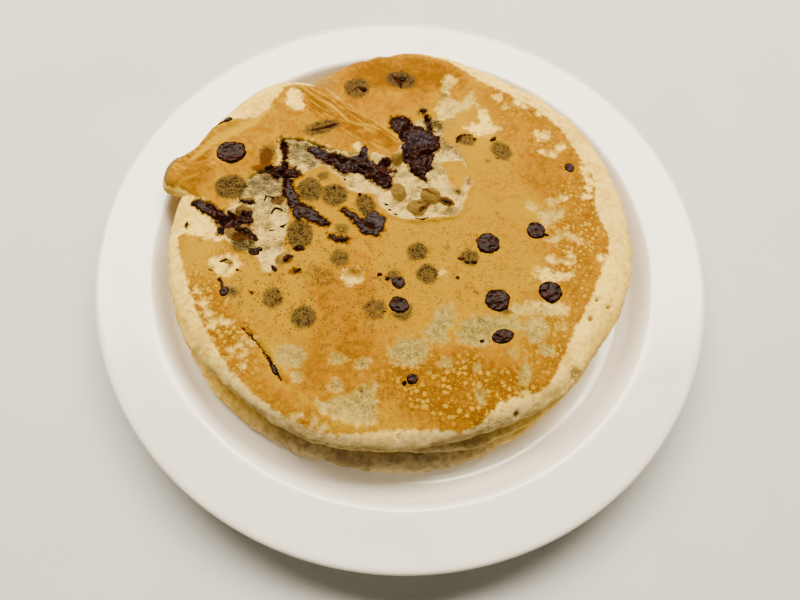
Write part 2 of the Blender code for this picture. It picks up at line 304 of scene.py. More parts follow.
# How brown the skin is: strength, place, radii and turn of each soft zone.
DARK_ZONES = (
    (0.55, 72, 12, 17, 50, 0), (0.65, 58, 38, 14, 14, 0), (0.95, -8, 86, 32, 13, 0),
    (0.5, -25, 70, 10, 12, 0), (0.92, 28, -64, 38, 18, -6), (0.72, 64, -40, 16, 22, 25),
    (0.62, -18, -58, 26, 18, 0), (0.60, -71, -48, 12, 32, 38), (0.45, -40, -78, 22, 8, -12),
    (0.55, 45, 66, 28, 16, -30), (0.42, -15, 76, 32, 18, 0), (0.66, 77, 30, 10, 16, 0),
    (0.45, -90, -15, 4, 9, 0), (0.50, -22, -30, 18, 18, 0),
)
BLISTER_ZONES = (
    (1.0, 74, 5, 17, 38, 0), (1.0, 28, -64, 34, 15, -6), (0.9, 62, -44, 15, 16, 20),
    (1.0, -70, -45, 12, 30, 36), (0.55, 55, 62, 24, 15, -35), (0.5, -35, -80, 20, 6, -14),
    (0.35, 40, 32, 16, 10, 0), (0.6, 76, 34, 8, 14, 0),
)
SPECKLE_ZONES = ((1.0, -35, -25, 45, 30, -15), (0.7, 25, -15, 40, 30, 0), (0.8, -15, -72, 22, 12, 0))

# Chocolate chips that show through the skin as dark speckled rounds: place, radii, turn, strength. The thin
# one at the pit's top edge is painted shade on the pit's back wall.
GHOSTS = (
    (5.5, -8.5, 4.8, 4.8, 0, 0.9), (10, -18, 5, 5, 0, 0.9), (-3, -20, 4, 3.4, 0, 0.7),
    (-9.5, -35, 5, 5, 0, 0.6), (-37, -41, 5.4, 5.2, 0, 0.95), (-50, -33.5, 4.6, 5.2, 0, 0.75),
    (-26.5, -1, 3.6, 3.4, 0, 0.75), (-43.6, -4.2, 5.8, 7.4, 12, 1.0), (-34, -22.5, 5.5, 5.5, 0, 0.4),
    (-26, -14, 4.4, 4.4, 0, 0.8), (39.5, 46, 5, 6, 40, 0.8), (24, 50.5, 4.8, 4, 0, 0.8),
    (-28, 75, 6.4, 6.6, 30, 0.85), (-8, 82, 7.5, 5.4, -15, 0.95), (-41, 49.5, 9, 4, 20, 0.9),
    # (-20.3, -18.3) is a painted shadow along the pit's back wall, not a chip.
    (-20.3, -18.3, 2.6, 0.7, 10, 0.6), (-75.5, 15, 7.2, 6.4, 20, 1.0), (-63, 33, 4.2, 7, 0, 0.7),
    (-42, 17.5, 5.6, 6.6, 20, 1.0), (-31.5, 15.5, 5.6, 6.4, 25, 1.0), (-17.5, 11.5, 4.6, 6.4, 25, 0.9),
    (-37.5, 25, 3.4, 2.6, 20, 0.8), (-66, -9, 5.6, 6.4, 20, 1.0), (27, -9, 4.3, 4.1, 0, 0.95),
    (-66, -32.5, 4, 2.6, 0, 0.7), (3, 64.5, 3, 2.6, 0, 0.7), (1.5, -35, 4.5, 4.5, 0, 0.8),
    (42, -31, 4, 2, -10, 0.8), (30, -24.5, 1.6, 1.2, 0, 0.8), (13, 74.5, 2, 3, -20, 0.5),
    (33.5, 39.5, 2, 1.6, 0, 0.5), (18, -5, 0.9, 2, 10, 0.8), (38, 13.5, 1.8, 1, -50, 0.8),
    (58.5, -15.5, 4, 1.2, 10, 0.5), (-70, -21.5, 1.8, 3, -15, 0.7), (-84, -10.5, 2.2, 1, -30, 0.6),
    (57, -27, 3, 1.4, 0, 0.5), (44, 22, 1.6, 0.6, 0, 0.8), (32, -36, 2.4, 1.6, 0, 0.5),
    (7, -53.5, 2.6, 1.2, 30, 0.5), (-12, -57.8, 1.3, 1.3, 0, 0.7), (-97, 9, 3, 1.2, -30, 0.4),
)
TAN_BUTTONS = (
    (-4.5, 20.5, 3.4, 5.0, 25), (4, 13.2, 4.6, 4.3), (9.5, 19.8, 4.6, 4.4, -20),
    (16.5, 17.8, 4, 2.2, -25), (-48.5, -16, 3.8, 3.0, 30), (-6.5, 37, 3, 3.4),
)
RED_STAINS = (
    (-69.5, -4.5, 5.5, 5, 0), (-68.5, 4, 3.5, 4, 0), (16.5, 17.5, 3.6, 1.8, -25),
    (-46.5, -16.5, 2.2, 1.6, 30), (-43, -21.5, 3, 1.6, 10), (7, 13.5, 1.2, 3, -40),
    (8, 22, 4.6, 0.9, -25), (5.5, 29, 3, 1, -15), (-55.5, 12, 3, 2, 0), (-63, 25.5, 6, 2, 0),
    (-63, 31, 2.6, 5.5, 0), (-71, -19, 3, 1.2, -20),
)
# Greyer crumb, and painted shade beside and under the flap's edges: strength, place, radii and turn.
GREY_AND_SHADE_ZONES = (
    (0.6, -60, 20, 10, 9, 0), (0.6, -46, 36, 14, 7, -15), (0.5, -8, 37, 5, 5, 0), (0.7, -45, 76, 7, 5, 0),
    (0.6, -67, -32, 5, 4, 0), (0.5, 15, 60, 4, 9, -10), (0.5, 20, 45, 3, 6, 30), (0.45, -60, 9, 7, 5, 0),
)

FADED_ZONES = (
    (0.5, -84, -15, 9, 8, 0), (0.55, -83, -22, 10, 5, 0), (0.35, -42, -54, 14, 8, -20),
    (0.4, 30, 62, 16, 16, 0), (0.4, 57, 16, 10, 7, 0), (0.4, 58, -34, 12, 12, 0),
    (0.35, -62, 8, 12, 16, 0),
)
DULL_ZONES = ((1.0, 15, -55, 80, 34, 0), (0.7, 60, 12, 12, 14, 0), (0.6, 20, 75, 14, 14, 0))

# Holes: x, y, radius, depth.
PIT = (-19.5, -21.5, 3.6, 3.0)
HOLES = (
    (79, -23, 1.1, 1.2), (83.5, -26, 1.0, 1.1), (76, -31.6, 1.3, 1.3), (47, -72, 1.2, 1.2),
    (49, -62.2, 0.9, 0.9), (69.5, -54.5, 2.6, 0.7), (3.5, -84, 0.8, 0.8), (-11.8, -68, 0.9, 0.9),
    (55, -72, 0.6, 0.6), (-36, -64, 1, 0.4),
)

# Raised folds and sunk troughs in the skin: height, width and where each runs.
FOLDS = (
    (0.55, 2.0, ((12, 88), (11.5, 80), (10, 75), (9, 70), (9.5, 64), (10.5, 60))),
    (0.5, 1.6, ((27.5, 27), (24, 21), (23, 14), (20, 9.6), (14, 8), (8, 6.8), (2, 6))),
    (-0.7, 1.6, ((-60, -47), (-56, -50), (-52, -54), (-48, -58.5), (-45.5, -62), (-43, -65), (-40, -68))),
    (0.4, 2.5, ((-58, -45), (-50, -53), (-44, -60), (-38, -67))), (-0.6, 1.5, ((24, 38), (24.3, 31))),
    (-0.6, 1.2, ((18, -3), (17.5, -8), (18.5, -12))), (-0.5, 1.4, ((-51, -2), (-50, -8), (-48, -13))),
)

SHOULDER = 9.0
UNDER_SHOULDER = 5.0


class Pancake:
    """One pancake's outline, thickness and rounded edge."""

    def __init__(self, node, centre, radii, crown, waist):
        low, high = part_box(node)
        self.centre = centre
        self.radii = radii
        self.foot = low.z / MM
        self.crown = crown
        self.shoulder_top = high.z / MM - crown
        self.waist = self.foot + waist

    def edge(self, angle):
        """The outline's radius at each angle, more ragged at the back."""
        ring = np.column_stack((np.cos(angle), np.sin(angle), np.full(angle.shape, self.foot / 100.0)))
        back = 1.0 + 0.8 * smooth(np.sin(angle), 0.3, 0.9)
        uneven = 0.5 * noise(ring, 0.09, 14) + 0.35 * noise(ring, 0.035, 15)
        return around(self.radii, angle) + back * uneven

    def level(self, x, y):
        """Height of the smooth upper surface, and how far inside the outline each place is."""
        x, y = x - self.centre[0], y - self.centre[1]
        radius = np.hypot(x, y)
        edge = self.edge(np.arctan2(y, x))
        inset = edge - radius
        bend = np.clip(1.0 - inset / SHOULDER, 0.0, 1.0)
        rise = self.shoulder_top - self.waist
        height = self.waist + rise * np.sqrt(1.0 - bend**2)
        return height + self.crown * smooth(inset / edge, 0.05, 0.75), inset

    def section(self, path, angle):
        """Points and outward normals at shares of 0 to 2 of the way over the top and back underneath."""
        edge = self.edge(angle)
        over = np.clip(path, 0.0, 1.0)
        arc = 1.15 * SHOULDER
        walked = over * (edge - SHOULDER + arc)
        turn = np.clip((walked - edge + SHOULDER) / arc, 0.0, 1.0) * np.pi / 2.0
        radius = np.where(turn > 0.0, edge - SHOULDER + SHOULDER * np.sin(turn), walked)
        rise = self.shoulder_top - self.waist
        height = self.waist + rise * np.cos(turn) + self.crown * smooth(1.0 - radius / edge, 0.05, 0.75)
        out, up = np.sin(turn) / SHOULDER, np.cos(turn) / rise
        below = path > 1.0
        under = np.clip((path - 1.0) * 2.0, 0.0, 1.0) * np.pi / 2.0
        drop = self.waist - self.foot
        inward = edge - UNDER_SHOULDER * (1.0 - np.cos(under))
        inward *= 1.0 - np.clip(path * 2.0 - 3.0, 0.0, 1.0)
        radius = np.where(below, inward, radius)
        height = np.where(below, self.waist - drop * np.sin(under), height)
        out = np.where(below, np.cos(under) / UNDER_SHOULDER, out)
        up = np.where(below, -np.sin(under) / drop, up)
        size = np.hypot(out, up)
        points = np.column_stack(
            (self.centre[0] + radius * np.cos(angle), self.centre[1] + radius * np.sin(angle), height)
        )
        normals = np.column_stack((out * np.cos(angle), out * np.sin(angle), up)) / size[:, None]
        return points, normals


TOP = Pancake("pancake_top", TOP_CENTRE, TOP_RADII, 0.9, 3.4)
MIDDLE_RADII = (92, 90, 92, 91, 89, 91, 92, 93, 90.5, 88, 90.5, 91)
BOTTOM_RADII = (93, 94, 95, 93, 95, 94, 96, 98, 96.5, 94, 92.5, 92)
MIDDLE = Pancake("pancake_middle", (1.0, 1.0), MIDDLE_RADII, 0.0, 3.8)
BOTTOM = Pancake("pancake_bottom", (-1.0, 0.0), BOTTOM_RADII, 0.0, 3.8)


def torn_distance(x, y):
    """Signed distance to the torn places, negative where the crumb shows."""
    ragged = 0.9 * noise(flat(x, y), 5.0, 11) + 0.45 * noise(flat(x, y), 1.9, 12)
    torn = np.minimum(outline_distance(x, y, TORN_LEFT), outline_distance(x, y, TORN_MIDDLE))
    return np.maximum(torn, -outline_distance(x, y, SKIN_LEFT_BEHIND)) + ragged * smooth(torn, -4.0, 0.0)


def pale_distance(x, y):
    """Signed distance to the pale patches and spots, negative inside them."""
    patches = nearest(outline_distance, x, y, PALE_PATCHES)
    near = np.minimum(nearest(spot_distance, x, y, PALE_SPOTS), patches)
    return near + 0.8 * noise(flat(x, y), 4.5, 13) + 0.5 * noise(flat(x, y), 1.8, 16)


def ghost_strength(x, y):
    """0 to 1: how strongly a covered chip shows through."""
    most = np.zeros(x.shape)
    for *spot, strength in GHOSTS:
        most = np.maximum(most, strength * smooth(spot_distance(x, y, spot), 1.2, -2.2))
    return most


def crumb_lumps(x, y):
    """Unevenness of the torn crumb."""
    spots = flat(x, y)
    grains = 1.3 * (0.7 - cells(spots, 4.6, 21)) + 0.9 * (0.7 - cells(spots, 2.1, 22))
    return grains + 1.1 * rough(spots, 7.0, 23)


def skin_relief(x, y):
    """Height of the top pancake's surface over its smooth form."""
    spots = flat(x, y)
    torn = torn_distance(x, y)
    bare = smooth(torn, 0.2, -1.6)
    height = 0.42 * rough(spots, 34.0, 1) + 0.13 * rough(spots, 7.0, 4)
    height += bare * (crumb_lumps(x, y) - TORN_DEPTH)
    height += 0.4 * smooth(torn, 0.0, 0.5) * smooth(torn, 2.2, 0.7)
    height -= 0.28 * smooth(pale_distance(x, y), 0.6, -0.8) * (1.0 - bare)
    height += 0.22 * ghost_strength(x, y)
    for button in TAN_BUTTONS:
        height += 1.1 * smooth(spot_distance(x, y, button), 0.3, -2.2)
    px, py, radius, depth = PIT
    height -= depth * smooth(spot_distance(x, y, (px, py, radius, radius - 0.4)), 0.3, -1.7)
    for hx, hy, radius, depth in HOLES:
        height -= depth * smooth(spot_distance(x, y, (hx, hy, radius)), 0.45, -0.6)
    for rise, width, run in FOLDS:
        height += rise * ridge(x, y, width, run)
    beside_flap = outline_distance(x, y, FLAP_OUTLINE)
    height += 1.4 * bare * smooth(beside_flap, 4.5, 0.3)
    height -= 2.2 * smooth(beside_flap, -1.0, -5.0)
    return height


def top_height(x, y):
    """Height of the finished top pancake, where it faces up."""
    return TOP.level(x, y)[0] + skin_relief(x, y)


# ------------------------------------------------------------------------------------------- the torn flap

FLAP_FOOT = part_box("torn_flap")[0].z / MM
FLAP_LEVEL = 33.0
FLAP_BULGE = 1.0
FLAP_FOLDS = (
    (-0.9, 4.0, ((-94, 28), (-88, 38), (-80, 44), (-72, 50), (-66, 60))),
    (0.8, 2.6, ((-97, 31), (-95, 40), (-90, 45), (-80, 49))),
    (0.6, 1.4, ((-57, 75), (-50, 69), (-44, 65), (-36, 60), (-30, 54), (-25, 52.5), (-20, 52.5))),
    (0.5, 1.6, ((-46, 74), (-38, 70), (-30, 65.5), (-22, 60), (-14, 55.5), (-9, 52))),
    (-0.9, 1.4, ((-54, 67), (-52, 63), (-50.5, 59))), (-0.8, 1.6, ((-26, 45), (-24, 41), (-21, 38))),
    (0.5, 2.5, ((-100, 16), (-94, 20), (-88, 24), (-82, 25))),
    (-0.5, 2.2, ((-101, 22), (-94, 25), (-88, 29))), (0.4, 3.0, ((-62, 72), (-60, 64), (-60, 56))),
    (-0.4, 1.8, ((-66, 57), (-62, 50), (-60, 45))),
)
FLAP_PALE_AREAS = (
    ((-86, 50), (-78, 51), (-71, 53), (-67.5, 58), (-65, 62), (-62, 67), (-60, 72.5), (-50, 74),
     (-45, 76), (-45, 82), (-60, 84), (-72, 80), (-84, 70), (-92, 56)),
    ((-58, 70), (-53, 69), (-52, 64), (-50, 60), (-53, 58), (-57, 59), (-59, 63)),
    ((-25.5, 43), (-24.5, 39.5), (-22, 37), (-20, 39.5), (-22.5, 42.5)),
)
FLAP_FADED_RUNS = (
    ((-95, 28, 2), (-88, 38, 4.5), (-80, 44, 5.5), (-72, 50, 5), (-66, 60, 4)),
    ((-57, 76, 1.6), (-50, 69, 1.4), (-44, 65, 1.4), (-36, 60, 1.2), (-30, 54, 1.2), (-25, 52.5, 1.2),
     (-20, 52.5, 1)),
    ((-101, 12, 1), (-96, 17, 1.5), (-90, 20, 0.8)),
    ((-64, 58, 0.8), (-62, 52, 0.8), (-60, 45, 1.2)),
)
# Tan at the curled corner: partly the browned underside's colour, partly painted shade under the curl.
FLAP_CURL = ((-103, 15, 1.6), (-104.6, 19, 3.0), (-104.4, 24, 3.4), (-102, 29, 2.2))


def flap_inset(x, y):
    """How far inside the flap's outline each place is."""
    return -outline_distance(x, y, FLAP_OUTLINE, steps=5)


def flap_height(x, y):
    """Height of the flap's upper surface."""
    inset = flap_inset(x, y)
    outer = smooth(TOP.level(x, y)[1], 12.0, 3.0)
    reach = 1.8 + 6.5 * outer
    drop = 2.1 + 3.9 * outer
    bend = np.clip(1.0 - np.maximum(inset, 0.0) / reach, 0.0, 1.0)
    height = FLAP_LEVEL + FLAP_BULGE * smooth(inset, 1.0, 20.0) - drop * (1.0 - np.sqrt(1.0 - bend**2))
    spots = flat(x, y)
    height += 0.3 * rough(spots, 16.0, 31) + 0.12 * rough(spots, 5.0, 33)
    for rise, width, run in FLAP_FOLDS:
        height += rise * ridge(x, y, width, run) * smooth(inset, 0.0, 2.5)
    return height + 0.25 * ghost_strength(x, y)


def ground(x, y):
    """Height of whichever of the flap and the top pancake shows at each place."""
    height = top_height(x, y)
    covered = flap_inset(x, y) > 0.4
    height[covered] = np.maximum(height[covered], flap_height(x[covered], y[covered]))
    return height


# ------------------------------------------------------------------------------------------------ meshes


def add_piece(name, points, faces, material, nodes=(), painted=None):
    """A smooth-shaded mesh piece from points in millimetres, in place of CAD nodes. painted is per point."""
    mesh = bpy.data.meshes.new(name)
    mesh.from_pydata((np.asarray(points) * MM).tolist(), [], [list(map(int, face)) for face in faces])
    mesh.update()
    mesh.polygons.foreach_set("use_smooth", [True] * len(mesh.polygons))
    for label, values in (painted or {}).items():
        layer = mesh.attributes.new(label, "FLOAT", "POINT")
        layer.data.foreach_set("value", np.asarray(values, np.float32))
    mesh.materials.append(material)
    piece = bpy.data.objects.new(name, mesh)
    bpy.context.scene.collection.objects.link(piece)
    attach(piece, "root")
    if nodes:
        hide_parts(*nodes)


def grid_squares(ids):
    """The four corners of each square of a grid of numbered points."""
    return np.stack((ids[:-1, :-1], ids[1:, :-1], ids[1:, 1:], ids[:-1, 1:]), axis=-1)


def closed_shell(rings):
    """Points and faces of a closed shape from rings of points. The first and last shrink to a point."""
    count = rings.shape[1]
    start, end = (ring.mean(axis=0)[None] for ring in (rings[0], rings[-1]))
    points = np.vstack((start, rings[1:-1].reshape(-1, 3), end))
    last = len(points) - 1
    faces = []
    for k in range(count):
        after = (k + 1) % count
        faces.append((0, 1 + k, 1 + after))
        for ring in range(len(rings) - 3):
            near, far = 1 + ring * count, 1 + (ring + 1) * count
            faces.append((near + k, far + k, far + after, near + after))
        base = 1 + (len(rings) - 3) * count
        faces.append((last, base + after, base + k))
    return points, faces


def disc_grid(count):
    """Shares of the radius and angles on a square grid bent into a disc, its faces, and its rim in order."""
    side = np.linspace(-1.0, 1.0, count + 1)
    across, along = (part.ravel() for part in np.meshgrid(side, side, indexing="ij"))
    wide = np.abs(across) > np.abs(along)
    radius = np.where(wide, across, along)
    safe = np.where(radius == 0.0, 1.0, radius)
    angle = np.where(wide, np.pi / 4.0 * along / safe, np.pi / 2.0 - np.pi / 4.0 * across / safe)
    x, y = radius * np.cos(angle), radius * np.sin(angle)
    ids = np.arange((count + 1) ** 2).reshape(count + 1, count + 1)
    faces = grid_squares(ids).reshape(-1, 4)
    rim = np.concatenate((ids[:-1, 0], ids[-1, :-1], ids[:0:-1, -1], ids[0, :0:-1]))
    return np.hypot(x, y), np.arctan2(y, x), faces, rim


# --------------------------------------------------------------------------------------------- materials


class Paint:
    """A procedural material's nodes, with lengths in millimetres on the object."""

    def __init__(self, name):
        self.material = bpy.data.materials.new(name)
        self.material.use_nodes = True
        self.nodes = self.material.node_tree.nodes
        self.links = self.material.node_tree.links
        self.shader = self.nodes["Principled BSDF"]
        self.place = self.nodes.new("ShaderNodeTexCoord").outputs["Object"]

    def feed(self, socket, value):
        if isinstance(value, bpy.types.NodeSocket):
            self.links.new(value, socket)
        else:
            socket.default_value = value

    def read(self, label):
        node = self.nodes.new("ShaderNodeAttribute")
        node.attribute_name = label
        return node.outputs["Fac"]

    def noise(self, size, detail=2.0, roughness=0.5, stretch=None):
        """Noise of 0 to 1 about 0.5. stretch is an angle in degrees and how much longer it is that way."""
        node = self.nodes.new("ShaderNodeTexNoise")
        place = self.place
        if stretch:
            angle, times = stretch
            place = self.mapped(place, (0.0, 0.0, math.radians(-angle)), (1.0, 1.0, 1.0))
            place = self.mapped(place, (0.0, 0.0, 0.0), (1.0 / times, 1.0, 1.0))
        self.feed(node.inputs["Vector"], place)
        node.inputs["Scale"].default_value = 1.0 / (size * MM)
        node.inputs["Detail"].default_value = detail
        node.inputs["Roughness"].default_value = roughness
        return node.outputs["Fac"]

    def mapped(self, place, turn, size):
        node = self.nodes.new("ShaderNodeMapping")
        self.feed(node.inputs["Vector"], place)
        node.inputs["Rotation"].default_value = turn
        node.inputs["Scale"].default_value = size
        return node.outputs["Vector"]

    def cells(self, size):
        """Distance to the nearest of scattered points, as a share of the size."""
        node = self.nodes.new("ShaderNodeTexVoronoi")
        self.feed(node.inputs["Vector"], self.place)
        node.inputs["Scale"].default_value = 1.0 / (size * MM)
        return node.outputs["Distance"]

    def maths(self, operation, first, second=0.0, third=0.0):
        node = self.nodes.new("ShaderNodeMath")
        node.operation = operation
        for socket, value in zip(node.inputs, (first, second, third)):
            self.feed(socket, value)
        return node.outputs["Value"]

    def step(self, value, low, high, start=0.0, end=1.0):
        """start at low, end at high, with a smooth change between."""
        node = self.nodes.new("ShaderNodeMapRange")
        node.interpolation_type = "SMOOTHSTEP"
        for label, number in (("Value", value), ("From Min", low), ("From Max", high)):
            self.feed(node.inputs[label], number)
        self.feed(node.inputs["To Min"], start)
        self.feed(node.inputs["To Max"], end)
        return node.outputs["Result"]

    def blend(self, share, first, second, mode="MIX"):
        node = self.nodes.new("ShaderNodeMix")
        node.data_type = "RGBA"
        node.blend_type = mode
        self.feed(node.inputs["Factor"], share)
        for label, value in (("A", first), ("B", second)):
            socket = next(s for s in node.inputs if s.name == label and s.type == "RGBA")
            self.feed(socket, value if isinstance(value, bpy.types.NodeSocket) else (*value, 1.0))
        return next(s for s in node.outputs if s.type == "RGBA")

    def scale(self, value, factor, shift=0.0):
        return self.maths("MULTIPLY_ADD", value, factor, shift)

    def spread(self, value, width):
        """Values of 0 to 1 about 0.5, made that wide about 0."""
        return self.scale(value, width, -0.5 * width)

    def add(self, first, *others):
        return self.maths("ADD", first, self.add(*others)) if others else first

    def bump(self, height, strength=1.0):
        """Relief whose height is in millimetres."""
        node = self.nodes.new("ShaderNodeBump")
        node.inputs["Strength"].default_value = strength
        node.inputs["Distance"].default_value = MM
        self.feed(node.inputs["Height"], height)
        self.links.new(node.outputs["Normal"], self.shader.inputs["Normal"])

    def surface(self, colour, roughness, specular=0.5, tint=(1.0, 1.0, 1.0)):
        self.feed(self.shader.inputs["Base Color"], colour)
        self.feed(self.shader.inputs["Roughness"], roughness)
        self.shader.inputs["Specular IOR Level"].default_value = specular
        self.shader.inputs["Specular Tint"].default_value = (*tint, 1.0)
        return self.material


CREAM = (0.88, 0.62, 0.11)
CREAM_SHADED = (0.66, 0.43, 0.06)
# Painted shade: greyer, darker batter for the sides that face the front, away from the light.
PAINTED_FRONT_SHADE = (0.46, 0.36, 0.17)
PAINTED_FRONT_SHADE_DARKER = (0.25, 0.185, 0.085)
PATCH = (0.40, 0.30, 0.065)
PATCH_DULL = (0.17, 0.125, 0.03)
GOLD_LIGHT = (0.35, 0.186, 0.0001)
GOLD = (0.305, 0.129, 0.0001)
BROWN = (0.165, 0.064, 0.0001)
BLISTER = (0.50, 0.285, 0.008)
FADED = (0.44, 0.26, 0.002)
CRUMB = (0.76, 0.55, 0.15)
CRUMB_SHADED = (0.20, 0.135, 0.043)
OLIVE = (0.058, 0.042, 0.016)
SPECK = (0.013, 0.008, 0.004)
GREY_CRUMB_AND_SHADE = (0.12, 0.098, 0.05)
TAN = (0.20, 0.12, 0.022)
RED_BROWN = (0.065, 0.021, 0.004)
CHOCOLATE = (0.0065, 0.0016, 0.001)
# Reddish chocolate: partly its own red-brown, partly a painted reddish sheen.
CHOCOLATE_RED_AND_SHEEN = (0.032, 0.0075, 0.003)
CHOCOLATE_BLOOM = (0.026, 0.018, 0.022)
GRAIN_SHADE = (0.84, 0.80, 0.76)
GLAZE_LIGHT = (0.84, 0.79, 0.69)
GLAZE_SHADED = (0.81, 0.76, 0.66)
FLOOR_LIGHT = (0.60, 0.60, 0.585)
FLOOR_SHADED = (0.57, 0.57, 0.555)


def batter_material():
    """Fried batter: a browned skin with pale blisters and speckles over cream-coloured sides and crumb."""
    p = Paint("fried_batter")
    fine, mid, broad = p.noise(0.8, 3.0, 0.65), p.noise(2.6, 3.0, 0.6), p.noise(11.0, 3.0, 0.5)
    ragged = p.add(p.spread(mid, 3.6), p.spread(fine, 2.2))
    toast = p.add(p.read("toast"), ragged)
    browned = p.step(toast, -0.7, 0.8)

    depth = p.add(p.read("tone"), p.spread(mid, 1.5), p.spread(broad, 1.2))
    depth = p.add(depth, p.spread(fine, 1.2))
    skin = p.blend(p.step(depth, 0.0, 0.5), GOLD_LIGHT, GOLD)
    skin = p.blend(p.step(depth, 0.38, 1.1), skin, BROWN)
    grained = p.noise(1.5, 3.0, 0.6, stretch=(-32.0, 9.0))
    streaks = p.maths("MULTIPLY", p.step(grained, 0.5, 0.68), p.read("streak"))
    skin = p.blend(p.scale(streaks, 0.7), skin, BLISTER)
    scorched = p.maths("MULTIPLY", p.step(grained, 0.47, 0.3), p.read("streak"))
    skin = p.blend(p.scale(scorched, 0.75), skin, BROWN)
    faded = p.step(p.add(p.read("faded"), p.spread(mid, 0.8), p.spread(fine, 0.5)), 0.15, 0.9)
    skin = p.blend(faded, skin, FADED)

    blister_zone = p.maths("MULTIPLY", p.read("blister"), p.step(broad, 0.3, 0.5))
    blister_size = p.add(p.scale(mid, 1.0, -0.22), p.spread(fine, 0.4))
    beads = p.maths("SUBTRACT", blister_size, p.cells(2.5))
    small_beads = p.maths("SUBTRACT", p.scale(fine, 0.9, -0.16), p.cells(1.25))
    net = p.maths("MULTIPLY", p.step(beads, -0.5, -0.22, 0.0, 0.55), blister_zone)
    skin = p.blend(net, skin, BROWN)
    blister = p.maths("MAXIMUM", p.step(beads, -0.18, 0.06), p.step(small_beads, -0.1, 0.1, 0.0, 0.5))
    blister = p.maths("MULTIPLY", blister, blister_zone)
    skin = p.blend(p.scale(blister, 0.85), skin, BLISTER)

    speckle_size = p.scale(p.noise(3.0, 1.0), 0.9, -0.2)
    speckle = p.step(p.maths("SUBTRACT", speckle_size, p.cells(1.1)), -0.06, 0.06)
    skin = p.blend(p.maths("MULTIPLY", speckle, p.scale(p.read("speckle"), 0.85)), skin, OLIVE)

    uneven = p.add(mid, broad)
    cream = p.blend(p.step(uneven, 0.85, 1.25), CREAM, CREAM_SHADED)
    # Painted shade: the front sides take the greyer, darker batter.
    painted_front_shade = p.blend(p.step(uneven, 0.8, 1.2), PAINTED_FRONT_SHADE, PAINTED_FRONT_SHADE_DARKER)
    cream = p.blend(p.read("painted_front_shade"), cream, painted_front_shade)
    pores = p.step(p.cells(2.4), 0.13, 0.05)
    pores = p.maths("MULTIPLY", pores, p.step(p.noise(7.0, 1.0), 0.45, 0.62))
    cream = p.blend(p.scale(pores, 0.8), cream, TAN)
    patch = p.blend(p.step(p.add(mid, p.scale(fine, 1.2)), 0.85, 1.3), PATCH, PATCH_DULL)
    patch = p.blend(p.scale(p.step(p.cells(1.1), 0.26, 0.1), 0.85), patch, OLIVE)
    cream = p.blend(p.read("patch"), cream, patch)
    colour = p.blend(browned, cream, skin)

    crumb = p.read("crumb")
    # Painted shade in the crumb's hollows: lower places take the darker CRUMB_SHADED.
    sunk_shade = p.add(p.read("hollow_shade"), p.spread(mid, 1.4), p.spread(fine, 1.0))
    pithy = p.blend(p.step(sunk_shade, -0.15, 0.8), CRUMB, CRUMB_SHADED)
    # Grey crumb, and painted shade by the flap's edges.
    grey_and_shade = p.add(p.read("grey_and_shade"), p.spread(mid, 0.8), p.spread(fine, 0.8))
    grey_and_shade = p.step(grey_and_shade, 0.25, 0.8)
    pithy = p.blend(grey_and_shade, pithy, GREY_CRUMB_AND_SHADE)
    colour = p.blend(crumb, colour, pithy)
    colour = p.blend(p.scale(grey_and_shade, 0.5), colour, GREY_CRUMB_AND_SHADE)

    button = p.step(p.add(p.read("button"), p.spread(mid, 0.4)), 0.25, 0.6)
    colour = p.blend(button, colour, TAN)

    ghost = p.read("ghost")
    veil = p.add(ghost, p.spread(mid, 1.1), p.spread(fine, 1.1))
    colour = p.blend(p.step(veil, 0.05, 0.75, 0.0, 0.86), colour, OLIVE)
    dot_size = p.add(p.scale(ghost, 0.46, -0.03), p.spread(p.noise(2.0, 2.0), 1.3))
    dots = p.step(p.maths("SUBTRACT", dot_size, p.cells(0.75)), -0.14, 0.08)
    dots = p.maths("MULTIPLY", dots, p.step(ghost, 0.05, 0.5))
    colour = p.blend(p.scale(dots, 0.85), colour, SPECK)

    # Reddish-brown stains, and painted shade in the holes.
    red_stain_and_hole_shade = p.step(p.add(p.read("red_stain_and_hole_shade"), p.spread(fine, 1.3)), 0.25, 0.75)
    colour = p.blend(p.scale(red_stain_and_hole_shade, 0.85), colour, RED_BROWN)
    stain = p.add(p.read("choc"), p.spread(fine, 1.8), p.spread(mid, 2.0))
    stain = p.step(stain, -0.1, 0.25)
    colour = p.blend(stain, colour, p.blend(p.step(mid, 0.45, 0.6), CHOCOLATE, CHOCOLATE_RED_AND_SHEEN))

    grain = p.step(fine, 0.28, 0.72)
    colour = p.blend(grain, p.blend(1.0, colour, GRAIN_SHADE, "MULTIPLY"), colour)

    relief = p.add(p.scale(fine, 0.20), p.scale(mid, 0.28))
    relief = p.add(relief, p.scale(p.maths("MULTIPLY", fine, crumb), 1.3))
    relief = p.add(relief, p.scale(blister, -0.22))
    relief = p.add(relief, p.maths("MULTIPLY", pores, p.scale(browned, 0.35, -0.35)))
    p.bump(relief, 0.9)
    return p.surface(colour, p.step(mid, 0.3, 0.7, 0.5, 0.68), 0.02, tint=(1.0, 0.45, 0.06))


def chocolate_material():
    """Melted and set chocolate: nearly black with small glints, reddish places that are partly its own colour
    and partly painted sheen, and greyish places.
    """
    p = Paint("chocolate")
    fine, mid = p.noise(0.7, 3.0, 0.6), p.noise(2.2, 3.0, 0.6)
    red_and_sheen = p.step(p.add(mid, p.spread(fine, 0.7)), 0.47, 0.66)
    colour = p.blend(red_and_sheen, CHOCOLATE, CHOCOLATE_RED_AND_SHEEN)
    bloom = p.add(p.read("bloom"), p.spread(fine, 0.8))
    colour = p.blend(p.step(bloom, 0.3, 0.9, 0.0, 0.65), colour, CHOCOLATE_BLOOM)
    p.bump(p.add(p.scale(fine, 0.03), p.scale(mid, 0.12)), 1.0)
    return p.surface(colour, p.step(mid, 0.35, 0.7, 0.22, 0.36), 0.05)


